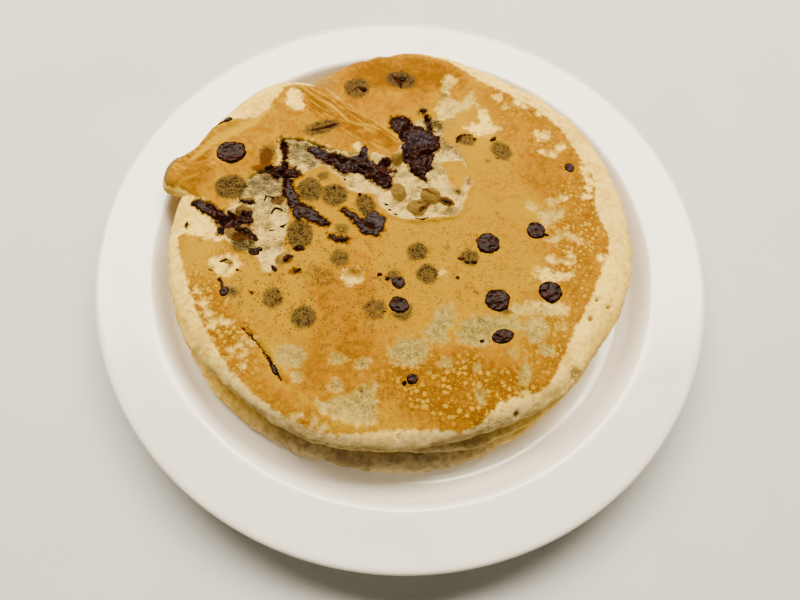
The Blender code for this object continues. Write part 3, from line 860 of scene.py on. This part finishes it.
def glaze_material():
    """White glazed stoneware."""
    p = Paint("white_glaze")
    broad = p.noise(24.0, 2.0)
    colour = p.blend(p.step(broad, 0.3, 0.7), GLAZE_LIGHT, GLAZE_SHADED)
    p.bump(p.add(p.scale(p.noise(5.0, 1.0), 0.03), p.scale(broad, 0.12)), 0.6)
    return p.surface(colour, p.step(p.noise(9.0, 2.0), 0.3, 0.7, 0.10, 0.18), 0.5)


BATTER = batter_material()
CHOCOLATE_COAT = chocolate_material()
GLAZE = glaze_material()


# ----------------------------------------------------------------------------------------- the pancakes


def painted_batter(x, y, browned, upper):
    """What the batter material reads at each place. upper is true where the surface faces up."""
    torn = np.where(upper, torn_distance(x, y), 9.0)
    strokes = np.where(upper, stain_distance(x, y), 9.0)
    shown = upper.astype(float)
    melted = melt_distance(x, y)
    strokes = np.minimum(strokes, np.where(upper, melted - 0.2, 9.0))
    covered = np.where(upper, pale_distance(x, y), 9.0)
    stains_and_hole_shade = 0.75 * smooth(melted + 0.8 * noise(flat(x, y), 2.2, 17), 2.4, 0.0)
    stains_and_hole_shade = np.maximum(stains_and_hole_shade, strongest(spot_distance, x, y, RED_STAINS, 1.0, -1.0))
    # Painted shade in the holes: dark brown inside each, darker for deeper holes.
    for hx, hy, radius, depth in HOLES:
        rim = smooth(spot_distance(x, y, (hx, hy, radius)), 0.4, -0.7)
        stains_and_hole_shade = np.maximum(stains_and_hole_shade, 0.9 * rim * smooth(depth, 0.3, 1.0))
    return {
        "toast": np.clip(np.minimum(browned, np.maximum(0.6 * covered, -1.1)), -8.0, 8.0),
        "patch": shown * smooth(covered, 2.5, 0.5) * smooth(browned, 0.0, 3.0) * zones(x, y, DULL_ZONES),
        "tone": zones(x, y, DARK_ZONES),
        "blister": shown * zones(x, y, BLISTER_ZONES),
        "speckle": shown * zones(x, y, SPECKLE_ZONES),
        "crumb": smooth(torn, 0.35, -0.35),
        # Painted shade: lower crumb gets more of it.
        "hollow_shade": 0.35 - 0.45 * crumb_lumps(x, y),
        "streak": np.zeros(x.shape),
        "faded": shown * np.maximum(zones(x, y, FADED_ZONES), 0.5 * smooth(covered, 1.8, 0.0)),
        "painted_front_shade": np.zeros(x.shape),
        "grey_and_shade": shown * zones(x, y, GREY_AND_SHADE_ZONES),
        "button": shown * strongest(spot_distance, x, y, TAN_BUTTONS, 0.6, -0.9),
        "ghost": shown * ghost_strength(x, y),
        "red_stain_and_hole_shade": shown * stains_and_hole_shade,
        "choc": np.clip(-strokes, -5.0, 5.0),
    }


STAIN_RUNS = (
    ((-74, 3, 2), (-69, 0, 4), (-66, 5, 2)),
    ((-53, 21, 3), (-50, 13, 3.5), (-46, 9, 4), (-40, 5, 4), (-34, 2, 2.5)),
    ((-45, 38, 2), (-36, 34, 4), (-27, 31, 6), (-18, 31, 6), (-10, 26, 5)),
    ((-9, 58, 4), (-3, 54, 6), (3, 44, 9), (5, 34, 6)), ((-25, 7, 1), (-18, 2, 3), (-13, 3, 5)),
    ((-60, -47, 0.9), (-56, -50, 1.1), (-52, -54, 0.9), (-48, -58.5, 1.4), (-45, -62.5, 2.4),
     (-42, -66, 0.8)),
    ((-73, -27, 1), (-71, -30, 1.4)), ((-60.5, -31, 0.9), (-58, -32.5, 0.9)),
    ((4, 7.5, 1.0), (8.5, 7, 1.2)), ((5, 62, 1.3), (6.5, 57, 1.6), (8, 52, 1.6)),
    ((-44, -20, 1), (-43, -22, 1.4), (-41, -20.5, 1)), ((-13, 84.5, 0.8), (-9, 81, 2.4), (-4.5, 84, 1.0)),
    ((-8, 80, 2.0), (-7.6, 76.5, 0.7)), ((-31, 72, 0.6), (-27, 76, 1.2), (-23.5, 74.5, 1.4)),
    ((-45.5, 47.5, 0.8), (-38, 50, 1.8), (-33.5, 52.5, 0.8)),
    ((19.5, 48.5, 1.2), (21.5, 53, 1.2), (27, 53, 0.9)), ((-49, -7, 0.8), (-48.5, -10, 1.0)),
    ((37, 42, 0.5), (38.5, 41, 0.5)),
)
STAIN_SPOTS = (
    (-43, -11, 2.6, 1.6), (-62, -7, 1.2, 3, 40), (-52.5, -20.5, 0.8, 1.8, 30),
    (-46.5, -15.5, 1.0, 2.2, -50), (-91, -4, 0.9, 2.6, 12), (22.5, -18.7, 0.9, 0.7),
    (33, -44.5, 0.9, 0.7), (36, -44.6, 0.6), (23.5, -10, 1.5, 0.8), (26, -11.5, 1.2, 0.9),
    (29, -11, 1.3, 0.9), (-25, 74.5, 1.7, 1.5), (-7.5, 82, 2.2, 1.8), (-9, -20, 1), (-6, -21.5, 0.9),
    (-28, 24, 0.8), (-32, 19, 0.9), (-35, 18, 0.8), (-20.5, 17, 0.9, 1.4), (-9.5, 13.5, 0.8),
    (-7.5, 11, 0.9, 0.7), (-4.5, 9, 0.9, 0.6), (20.5, 51, 1.2, 2, -30), (27.5, 51, 1.2, 1),
    (36, 51.5, 2, 1.2, 30), (40, 44, 0.7), (3.5, 64.5, 1.7, 1.5), (-47, -34, 0.7), (-48, -31, 0.7),
    (16.5, 17.5, 1, 0.6), (-51, -1, 1, 0.6), (-12, -34, 0.6), (-5.5, -36, 0.7), (6.5, 13, 0.6, 1.8, -40),
    (5, 15.5, 1.6, 0.5, 20),
)


def stain_distance(x, y):
    """Signed distance to thin chocolate smears, negative inside them."""
    return np.minimum(nearest(spot_distance, x, y, STAIN_SPOTS), nearest(run_distance, x, y, STAIN_RUNS))


def browned_distance(pancake, radii, x, y):
    """Signed distance to a pancake's browned skin, positive on it."""
    x, y = x - pancake.centre[0], y - pancake.centre[1]
    return around(radii, np.arctan2(y, x)) - np.hypot(x, y)


def edge_relief(points, seed):
    """Unevenness of a pancake's soft sides, with folds that run along them."""
    folds = rough(points * (0.3, 0.3, 1.5), 6.0, seed + 2)
    return 0.55 * rough(points, 22.0, seed) + 0.3 * rough(points, 6.0, seed + 5) + 0.6 * folds


TOP_GRID = 256
EDGE_PATHS = (1.1, 1.2, 1.3, 1.4, 1.5, 1.62, 1.78, 1.92)


def add_top_pancake():
    """The top pancake, fine enough for its torn crumb, blisters and holes."""
    share, angle, faces, rim = disc_grid(TOP_GRID)
    faces = faces.tolist()
    path, turn = [share], [angle]
    inner = rim
    for ring in EDGE_PATHS:
        outer = len(share) + len(rim) * (len(path) - 1) + np.arange(len(rim))
        faces += np.stack((inner, outer, np.roll(outer, -1), np.roll(inner, -1)), axis=-1).tolist()
        path.append(np.full(len(rim), ring))
        turn.append(angle[rim])
        inner = outer
    path, turn = np.concatenate(path), np.concatenate(turn)
    points, normals = TOP.section(path, turn)
    middle = len(points)
    faces += [(a, middle, b) for a, b in zip(inner, np.roll(inner, -1))]
    points = np.vstack((points, (*TOP_CENTRE, TOP.foot)))
    normals = np.vstack((normals, (0.0, 0.0, -1.0)))
    x, y = points[:, 0].copy(), points[:, 1].copy()
    upper = normals[:, 2] > 0.25
    relief = np.where(upper, skin_relief(x, y), 0.0) * smooth(normals[:, 2], 0.2, 0.75)
    side = smooth(np.abs(normals[:, 2]), 0.9, 0.5)
    relief += side * edge_relief(points, 41)
    points = points + normals * relief[:, None]
    points[:, 2] = np.maximum(points[:, 2], TOP.foot - 0.3)
    toast = browned_distance(TOP, BROWNED_RADII, x, y)
    painted = painted_batter(x, y, toast, upper)
    inset = TOP.level(x, y)[1] + 0.8 * noise(points, 9.0, 97)
    # Painted shade on the top pancake's outer edge towards the front.
    painted["painted_front_shade"] = 0.8 * smooth(y, -40.0, -80.0) * smooth(inset, 8.5, 2.0)
    add_piece("top_pancake", points, faces, BATTER, ["pancake_top"], painted)


LOWER_SPOKES = 720
PLATE_SPOKES = 288


def add_lower_pancake(name, node, pancake, seed):
    """One of the pancakes of which only the edge shows."""
    angles = np.linspace(0.0, 2.0 * np.pi, LOWER_SPOKES, endpoint=False)
    spans = (np.linspace(0.0, 0.85, 6), np.linspace(0.88, 1.0, 12), np.linspace(1.05, 1.6, 10), (2.0,))
    paths = np.concatenate(spans)
    rings, upright = [], []
    for path in paths:
        points, normals = pancake.section(np.full(angles.shape, path), angles)
        side = smooth(np.abs(normals[:, 2]), 0.97, 0.6)
        relief = side * (edge_relief(points, seed) + 0.3 * rough(points, 11.0, seed + 9))
        rings.append(points + normals * relief[:, None])
        upright.append(normals[:, 2])
    points, faces = closed_shell(np.array(rings))
    points[:, 2] = np.clip(points[:, 2], pancake.foot - 0.1, None)
    x, y = points[:, 0], points[:, 1]
    browned = np.asarray(pancake.radii) - SHOULDER * 0.75
    toast = browned_distance(pancake, browned, x, y)
    sides = painted_batter(x, y, toast, np.zeros(x.shape, bool))
    sides["grey_and_shade"] = np.full(x.shape, 0.1)
    # Painted shade on the lower pancakes' sides, strongest at the front.
    sides["painted_front_shade"] = 0.05 + 0.95 * smooth(y, -66.0, -90.0)
    add_piece(name, points, faces, BATTER, [node], sides)


FLAP_DARK_ZONES = ((1.0, -32, 56, 30, 8, -32), (0.9, -95, 30, 8, 16, 20), (0.9, -12, 46, 9, 6, 0))
FLAP_STREAK_ZONES = ((1.0, -33, 58, 34, 10, -32), (1.0, -90, 32, 20, 12, 40), (0.5, -60, 60, 16, 14, 0))
# Painted soft shadow at the flap's back edge.
FLAP_SHADOW_ZONES = ((1.0, -45, 76, 7, 5, 0),)
FLAP_SPOKES = 560
FLAP_RINGS = 72


def add_flap():
    """The torn and folded piece of skin at the back left, with thin lips and a curled corner."""
    outline = curved(FLAP_OUTLINE, steps=24)
    steps = np.hypot(*(np.roll(outline, -1, axis=0) - outline).T)
    walked = np.concatenate(((0.0,), np.cumsum(steps)))
    stops = np.linspace(0.0, walked[-1], FLAP_SPOKES, endpoint=False)
    closed = np.vstack((outline, outline[:1]))
    edge = np.column_stack([np.interp(stops, walked, closed[:, k]) for k in (0, 1)])
    middle = np.array(FLAP_MIDDLE)
    arm = edge - middle
    rings = []
    for share in 1.0 - (1.0 - np.linspace(0.0, 1.0, FLAP_RINGS)) ** 1.5:
        place = middle + arm * share
        rings.append(np.column_stack((place, flap_height(place[:, 0], place[:, 1]))))
    lip = rings[-1][:, 2]
    reach = np.hypot(*arm.T)
    for inset, drop in ((0.0, 0.3), (0.3, 0.6), (0.9, 0.85), (1.8, 1.0), (0.3 * reach, 1.0), (reach, 1.0)):
        place = middle + arm * (1.0 - inset / reach)[:, None]
        height = lip - (lip - FLAP_FOOT - 0.2) * drop
        rings.append(np.column_stack((place, height)))
    points, faces = closed_shell(np.array(rings))
    upper = np.arange(len(points)) <= FLAP_SPOKES * (FLAP_RINGS - 1)
    x, y = points[:, 0], points[:, 1]
    inset = flap_inset(x, y)
    outer = smooth(TOP.level(x, y)[1], 9.0, 2.0)
    lip_edge = 0.5 + 1.4 * outer + 0.6 * noise(flat(x, y), 5.0, 98)
    toast = np.where(upper, inset - lip_edge, -4.0)
    toast = np.minimum(toast, nearest(outline_distance, x, y, FLAP_PALE_AREAS))
    faded = strongest(run_distance, x, y, FLAP_FADED_RUNS, 1.4, -1.0)
    painted = painted_batter(x, y, toast, upper)
    painted["toast"] = np.clip(toast, -8.0, 8.0)
    painted["crumb"] = np.zeros(x.shape)
    painted["grey_and_shade"] = 0.4 * zones(x, y, FLAP_SHADOW_ZONES)
    painted["tone"] = 0.3 + 0.6 * zones(x, y, FLAP_DARK_ZONES)
    painted["streak"] = zones(x, y, FLAP_STREAK_ZONES)
    painted["faded"] = np.maximum(0.65 * faded, 0.45 * smooth(inset, 3.0, 0.5) * upper)
    # Browned underside and painted shade at the curled corner.
    painted["button"] = smooth(run_distance(x, y, FLAP_CURL), 0.5, -0.6)
    painted["choc"] = np.clip(-stain_distance(x, y), -5.0, 5.0) * upper
    add_piece("flap", points, faces, BATTER, ["torn_flap"], painted)


# ------------------------------------------------------------------------------------------- chocolate

SLAB_STEP = 0.42
SLAB_MARGIN = 0.75  # how far a lump's skirt reaches past its edge


def four_of(kept):
    """True for each square of a grid whose four corners are true."""
    return kept[:-1, :-1] & kept[1:, :-1] & kept[1:, 1:] & kept[:-1, 1:]


def joined_squares(kept):
    """The squares between kept grid points, without lone ones or ones that touch only at a corner."""
    squares = four_of(kept)
    blocks = four_of(squares)
    joined = np.zeros_like(squares)
    for across, along in np.ndindex(2, 2):
        joined[across : across + blocks.shape[0], along : along + blocks.shape[1]] |= blocks
    for _ in range(3):
        first, second = joined[:-1, :-1] & joined[1:, 1:], joined[1:, :-1] & joined[:-1, 1:]
        either, other = joined[1:, :-1] | joined[:-1, 1:], joined[:-1, :-1] | joined[1:, 1:]
        falling, rising = first & ~either, second & ~other
        joined[1:, :-1] |= falling
        joined[:-1, :-1] |= rising
    return joined


def slab(x_range, y_range, distance, height, depth=1.6):
    """Points and faces of closed lumps that rise out of the ground where distance is negative."""
    across, along = np.arange(*x_range, SLAB_STEP), np.arange(*y_range, SLAB_STEP)
    grid_x, grid_y = np.meshgrid(across, along, indexing="ij")
    near = distance(grid_x.ravel(), grid_y.ravel()).reshape(grid_x.shape)
    ids = np.arange(grid_x.size).reshape(grid_x.shape)
    quads = grid_squares(ids)[joined_squares(near < SLAB_MARGIN)]
    used, quads = np.unique(quads, return_inverse=True)
    quads = quads.reshape(-1, 4)
    x, y, near = grid_x.ravel()[used], grid_y.ravel()[used], near.ravel()[used]
    base = ground(x, y)
    top = base + np.where(near < 0.0, height(x, y, -near), -1.3 * near)
    points = np.vstack((np.column_stack((x, y, top)), np.column_stack((x, y, base - depth))))
    count = len(used)
    edges = {(a, b) for quad in quads.tolist() for a, b in zip(quad, quad[1:] + quad[:1])}
    sides = [(b, a, a + count, b + count) for a, b in edges if (b, a) not in edges]
    return points, quads.tolist() + (quads[:, ::-1] + count).tolist() + sides


def lumpy(thick, lump):
    """The height of set chocolate at each distance inside its edge."""

    def height(x, y, inside):
        spots = flat(x, y)
        swell = thick * np.sqrt(np.clip(inside / 1.1, 0.0, 1.0))
        ridges = 1.0 - np.abs(noise(spots, 3.2, 53))
        grains = 0.5 * lump * (0.8 - cells(spots, 2.2, 52))
        return swell * (0.45 + lump * rough(spots, 4.5, 51, 2) + grains + 0.7 * ridges**3)

    return height


def smear(*runs, patches=()):
    """Ragged signed distance to strokes and outlined patches of chocolate."""

    def distance(x, y):
        strokes = nearest(run_distance, x, y, runs)
        near = np.minimum(strokes, nearest(outline_distance, x, y, patches))
        for swing, size, seed in ((1.2, 4.2, 61), (1.0, 1.8, 62), (0.5, 0.95, 63)):
            near = near + swing * noise(flat(x, y), size, seed)
        return near - 0.4

    return distance


MELTS = {
    "melt_upper": dict(
        box=((-50, -2), (18, 45)), thick=0.55,
        shape=smear(
            ((-44.5, 38.5, 2.5), (-39, 36.5, 3.6), (-33, 33.5, 5), (-27, 31.5, 8), (-22, 32.5, 7),
             (-18, 31, 6), (-13, 28, 7), (-10, 24.5, 4.5)),
            ((-20.5, 34, 3.5), (-20.5, 40, 2)),
            ((-13, 31, 4), (-11, 34.5, 2.5)), ((-10, 30, 1.2), (-6.5, 31.5, 0.7)),
        ),
        bloom=((0.9, -41, 38, 5, 2.5, -20), (0.8, -20.5, 38, 2, 3.5, 0)),
    ),
    "melt_back": dict(
        box=((-16, 17), (22, 66)), thick=0.85,
        shape=smear(
            ((5, 30, 1.5), (7, 28, 0.8)), ((5.5, 62, 1.0), (6.8, 57, 1.3), (8, 52, 1.6)),
            patches=(((-11, 56), (-8, 60), (-4, 60), (-1, 55.5), (2, 56), (5, 54), (8, 50.5), (11, 51),
             (12, 47), (9.5, 43), (9, 38), (8, 33), (5, 30), (1, 31), (-1, 35), (-4, 40), (-3.5, 45),
             (-5.5, 49)),),
        ),
        bloom=((1.0, 3, 49.5, 6, 5, 0), (0.6, -3, 44, 3, 5, 0)),
    ),
    "melt_left": dict(
        box=((-64, -29), (-3, 31)), thick=0.55,
        shape=smear(
            ((-61, 26, 3), (-57, 25, 3.4), (-51, 26.5, 4), (-48.5, 24.5, 2)),
            ((-57.5, 41, 1.1), (-55.5, 34, 1.2), (-54, 28, 1.4)),
            ((-52.5, 21, 3.6), (-51, 16, 4.2), (-48, 10.5, 4.6), (-44, 7, 5), (-39, 4.2, 4.6),
             (-34, 1.5, 2.4)),
            ((-46, 5, 2), (-45, 2, 1)),
        ),
        bloom=((0.35, -42, 8, 4, 2, -40),),
    ),
    "melt_edge": dict(
        box=((-94, -60), (-12, 14)), thick=0.55,
        shape=smear(
            ((-89, 6.5, 2.5), (-85, 4.5, 3.6), (-80, 2.5, 4), (-76.5, -0.5, 4), (-73, -1.5, 3.6),
             (-69, 1, 4.2), (-67, 4.5, 3.2)),
            ((-69.5, 9.5, 1), (-67, 10.5, 1)),
            ((-76, -3, 1.5), (-76.5, -6, 2)), ((-70, -4, 1.2), (-65, -5, 1.2), (-62, -7.5, 1.2)),
        ),
        bloom=((0.5, -86, 7, 4, 2, -20), (0.4, -75, -2, 3, 2, 0)),
    ),
    "melt_front": dict(
        box=((-31, -5), (-8, 13)), thick=0.55,
        shape=smear(
            ((-27, 8.5, 1.4), (-23, 6.5, 2), (-19.5, 3.5, 3), (-17, 0.5, 3.4), (-12.5, -1, 2.5)),
            ((-15.5, 4, 3), (-13.5, 7, 3.2), (-11.5, 4.5, 3.4), (-11, 0.5, 3)),
            ((-31, -4.5, 1.2), (-28, -5.8, 1.6), (-24, -5.6, 1.2)),
        ),
        bloom=((0.9, -13, 5, 5, 4, 0),),
    ),
}


def melt_distance(x, y):
    """Signed distance to the nearest run of melted chocolate, negative inside it."""
    return np.minimum.reduce([melt["shape"](x, y) for melt in MELTS.values()])


def add_melts():
    """Melted chocolate that runs along the tear."""
    for name, melt in MELTS.items():
        points, faces = slab(*melt["box"], melt["shape"], lumpy(melt["thick"], 0.45))
        bloom = zones(points[:, 0], points[:, 1], melt["bloom"])
        add_piece(name + "_run", points, faces, CHOCOLATE_COAT, [name], {"bloom": bloom})


# Whole chips in the skin: place, radii, turn, and how far each stands out of the batter.
CHIPS = (
    (34.5, -1.6, 5.2, 5.0, 0, 0.7), (54.8, 6.4, 4.3, 4.1, 0, 0.7), (38.5, -27, 5.2, 5.3, 0, 0.8),
    (60, -21.3, 5.0, 4.7, 0, 0.8), (41, -42, 4.5, 2.9, 20, 0.6), (-1.2, -23, 2.9, 2.8, 0, 0.5),
    (-0.2, -32.6, 4.2, 3.6, -20, 0.6), (7, -62, 2.2, 2.1, 0, 0.5), (70, 40, 2.5, 2.3, 45, 0.5),
    (-69.6, -32.4, 1.9, 2.2, 0, 0.5), (-78.3, 32.3, 6.8, 5.9, 5, 0.5),
)


def chip_shape(x, y, wide, tall, turn, proud, seed):
    """Points and faces of a baked chocolate chip: a squashed, pitted round with an uneven edge."""
    ball = bmesh.new()
    bmesh.ops.create_icosphere(ball, subdivisions=5 if wide > 3.0 else 4, radius=1.0)
    round_points = np.array([v.co for v in ball.verts])
    faces = [[v.index for v in face.verts] for face in ball.faces]
    ball.free()
    spots = round_points * 4.0 + seed * 9.0
    swell = 1.0 + 0.09 * rough(spots, 3.0, 71) + 0.05 * rough(spots, 1.1, 72)
    points = round_points * swell[:, None]
    points[:, 2] = np.clip(points[:, 2], -0.7, 0.55)
    spots = points * 4.0 + seed
    points[:, 2] += 0.14 * rough(spots, 2.2, 73, 2) + 0.04 * (0.7 - cells(spots, 1.5, 74))
    angle = math.radians(turn)
    east = points[:, 0] * wide
    north = points[:, 1] * tall
    depth = 0.45 * min(wide, tall) + 0.5
    base = ground(np.array([x]), np.array([y]))[0]
    return np.column_stack((
        x + east * math.cos(angle) - north * math.sin(angle),
        y + east * math.sin(angle) + north * math.cos(angle),
        base + proud + (points[:, 2] - 0.55) * depth,
    )), faces


def add_chips():
    """The chips that show whole."""
    for number, chip in enumerate(CHIPS, start=1):
        points, faces = chip_shape(*chip, seed=number)
        bloom = np.full(len(points), 0.1)
        node = f"chip_{number:02d}"
        add_piece(node + "_baked", points, faces, CHOCOLATE_COAT, [node], {"bloom": bloom})


# Small chocolate crumbs and strokes: x, y, width along short runs, or single spots.
BIT_RUNS = (
    ((-61, 11, 0.8), (-60.5, 13, 0.8), (-57.5, 13.2, 0.8)),
    ((-57, 5.5, 1), (-56, 8, 1), (-53.8, 8.2, 1), (-52.8, 7, 0.9)), ((-52, -1, 0.7), (-50, 0.3, 0.7)),
    ((-56.5, -3, 0.7), (-54.5, -2.8, 0.6)), ((-52.5, -19.5, 1.4), (-51, -21.8, 1.6)),
    ((-47.5, -17, 1.8), (-46.5, -15.5, 1.4), (-44.8, -14.8, 1)), ((-74, -19.6, 0.9), (-71.5, -18.2, 0.8)),
    ((-72.5, -27, 1), (-71.3, -29, 1.1), (-70.5, -31, 1.4)), ((-77.5, -23.5, 0.7), (-76, -24, 0.7)),
    ((-46.3, -61, 1.2), (-45, -63, 2), (-44, -64.5, 1)),
    ((-90, 45.6, 1), (-87, 47.6, 1.6), (-84.5, 49, 2.4)), ((57, 5, 1.4), (59.5, 4.6, 1.4)),
    ((4, -64, 1.6), (4.4, -63.6, 1.6)), ((-66.5, -22.5, 0.9), (-65.9, -23, 0.9)),
    ((15, 18.5, 1.4), (18, 17, 1.2)), ((4, 7, 0.9), (7, 6.6, 1), (9, 8.6, 0.8)),
    ((-42.6, -22, 0.9), (-41.2, -20.4, 1.2)),
)
BIT_SPOTS = (
    (-61, -14, 2.2, 1.9), (-59.2, -12, 1.2), (-83.4, 50.0, 2.4, 2.0), (-43, -11, 2.0, 1.1),
    (-8.8, -20, 0.9, 0.7), (-5.8, -21.6, 0.8), (33, -44.6, 0.9, 0.7), (23.6, -10, 1.3, 0.7),
    (26.2, -11.4, 1.0, 0.7), (29, -11.2, 1.2, 0.8), (-24.6, 74, 1.2, 0.9), (-7.4, 82, 1.4, 1.1),
    (3.6, 64.6, 1.2, 1.0), (-28, 24.2, 0.7), (-32, 19, 0.7), (-20.6, 16.6, 0.7, 1.1),
    (22.4, -18.8, 0.7, 0.5), (-7.6, 11, 0.7, 0.5), (-4.6, 9, 0.7, 0.5), (-66, 1, 2, 1.4),
    (-8.8, 13.4, 0.7, 0.6),
)


def add_bits():
    """Crumbs and thin strokes of chocolate, as one piece."""

    def distance(x, y):
        strokes = nearest(run_distance, x, y, BIT_RUNS)
        return np.minimum(nearest(spot_distance, x, y, BIT_SPOTS), strokes) + 0.2 * noise(flat(x, y), 1.6, 81)

    points, faces = slab((-94, 62), (-67, 85), distance, lumpy(0.9, 0.4), depth=1.0)
    painted = {"bloom": np.full(len(points), 0.15)}
    add_piece("chocolate_bits", points, faces, CHOCOLATE_COAT, (), painted)


# ------------------------------------------------------------------------------------------------ plate


def add_plate():
    """A wide-rimmed dinner plate: a foot ring, a flat well, a steep wall and a gently rising rim."""
    _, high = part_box("plate")
    radius, top = high.x / MM, high.z / MM
    floor = 6.0
    section = [
        (0.0, floor), (60.0, floor), (90.0, floor), (95.0, floor + 0.05), (98.0, floor + 0.4),
        (100.2, floor + 1.1), (102.0, floor + 2.4), (103.2, floor + 4.2), (104.3, floor + 7.0),
        (105.4, floor + 10.0), (106.4, floor + 12.3), (107.4, top - 2.35), (108.9, top - 1.82),
        (112.0, top - 1.5), (118.0, top - 1.0), (125.0, top - 0.35), (127.6, top - 0.06),
        (129.0, top - 0.25), (129.8, top - 0.95), (radius, top - 1.9), (129.6, top - 2.9),
        (128.4, top - 3.7), (122.0, top - 4.4), (112.0, top - 5.5), (109.6, top - 7.2), (107.4, 11.0),
        (105.2, 7.1), (101.6, 4.7), (94.0, 3.5), (87.9, 2.75), (86.4, 2.0), (85.4, 0.7), (84.0, 0.0),
        (80.5, 0.0), (77.0, 0.0), (75.9, 0.8), (75.0, 2.2), (40.0, 2.2), (0.0, 2.2),
    ]
    section = curved(section, closed=False, steps=2)
    angles = np.linspace(0.0, 2.0 * np.pi, PLATE_SPOKES, endpoint=False)
    east, north, level = np.cos(angles), np.sin(angles), np.ones(angles.shape)
    rings = [np.column_stack((r * east, r * north, max(z, 0.0) * level)) for r, z in section]
    points, faces = closed_shell(np.array(rings))
    add_piece("glazed_plate", points, faces, GLAZE, ["plate"])


# ------------------------------------------------------------------------------------------- the studio


FLOOR_REACH = 2.0  # metres from the middle to each side
SQUARE = ((-1, -1), (1, -1), (1, 1), (-1, 1))
WARM_WHITE = (1.0, 0.9, 0.72)
SURROUND_STRENGTH = 0.145


def add_floor():
    """A plain pale floor under the plate."""
    p = Paint("pale_floor")
    colour = p.blend(p.step(p.noise(60.0, 2.0), 0.3, 0.7), FLOOR_LIGHT, FLOOR_SHADED)
    material = p.surface(colour, 0.8, 0.2)
    mesh = bpy.data.meshes.new("floor")
    corners = [(across * FLOOR_REACH, along * FLOOR_REACH, 0.0) for across, along in SQUARE]
    mesh.from_pydata(corners, [], [(0, 1, 2, 3)])
    mesh.materials.append(material)
    floor = bpy.data.objects.new("floor", mesh)
    bpy.context.scene.collection.objects.link(floor)


def add_light(name, place, width, height, power, colour):
    """A broad soft light that shines on the middle of the plate."""
    data = bpy.data.lights.new(name, "AREA")
    data.shape = "RECTANGLE"
    data.size = width
    data.size_y = height
    data.energy = power
    data.color = colour
    light = bpy.data.objects.new(name, data)
    light.location = place
    light.rotation_mode = "QUATERNION"
    light.rotation_quaternion = (-Vector(place)).to_track_quat("-Z", "Y")
    bpy.context.scene.collection.objects.link(light)


def add_studio():
    """A broad light overhead towards the back, and a dimmer even surround."""
    add_light("back_light", (-0.05, 0.56, 0.97), 1.5, 0.45, 60.0, WARM_WHITE)
    world = bpy.data.worlds.new("studio")
    world.use_nodes = True
    surround = world.node_tree.nodes["Background"]
    surround.inputs["Color"].default_value = (*WARM_WHITE, 1.0)
    surround.inputs["Strength"].default_value = SURROUND_STRENGTH
    bpy.context.scene.world = world


add_plate()
add_lower_pancake("bottom_pancake", "pancake_bottom", BOTTOM, 91)
add_lower_pancake("middle_pancake", "pancake_middle", MIDDLE, 95)
add_top_pancake()
add_flap()
add_melts()
add_chips()
add_bits()
add_floor()
add_studio()
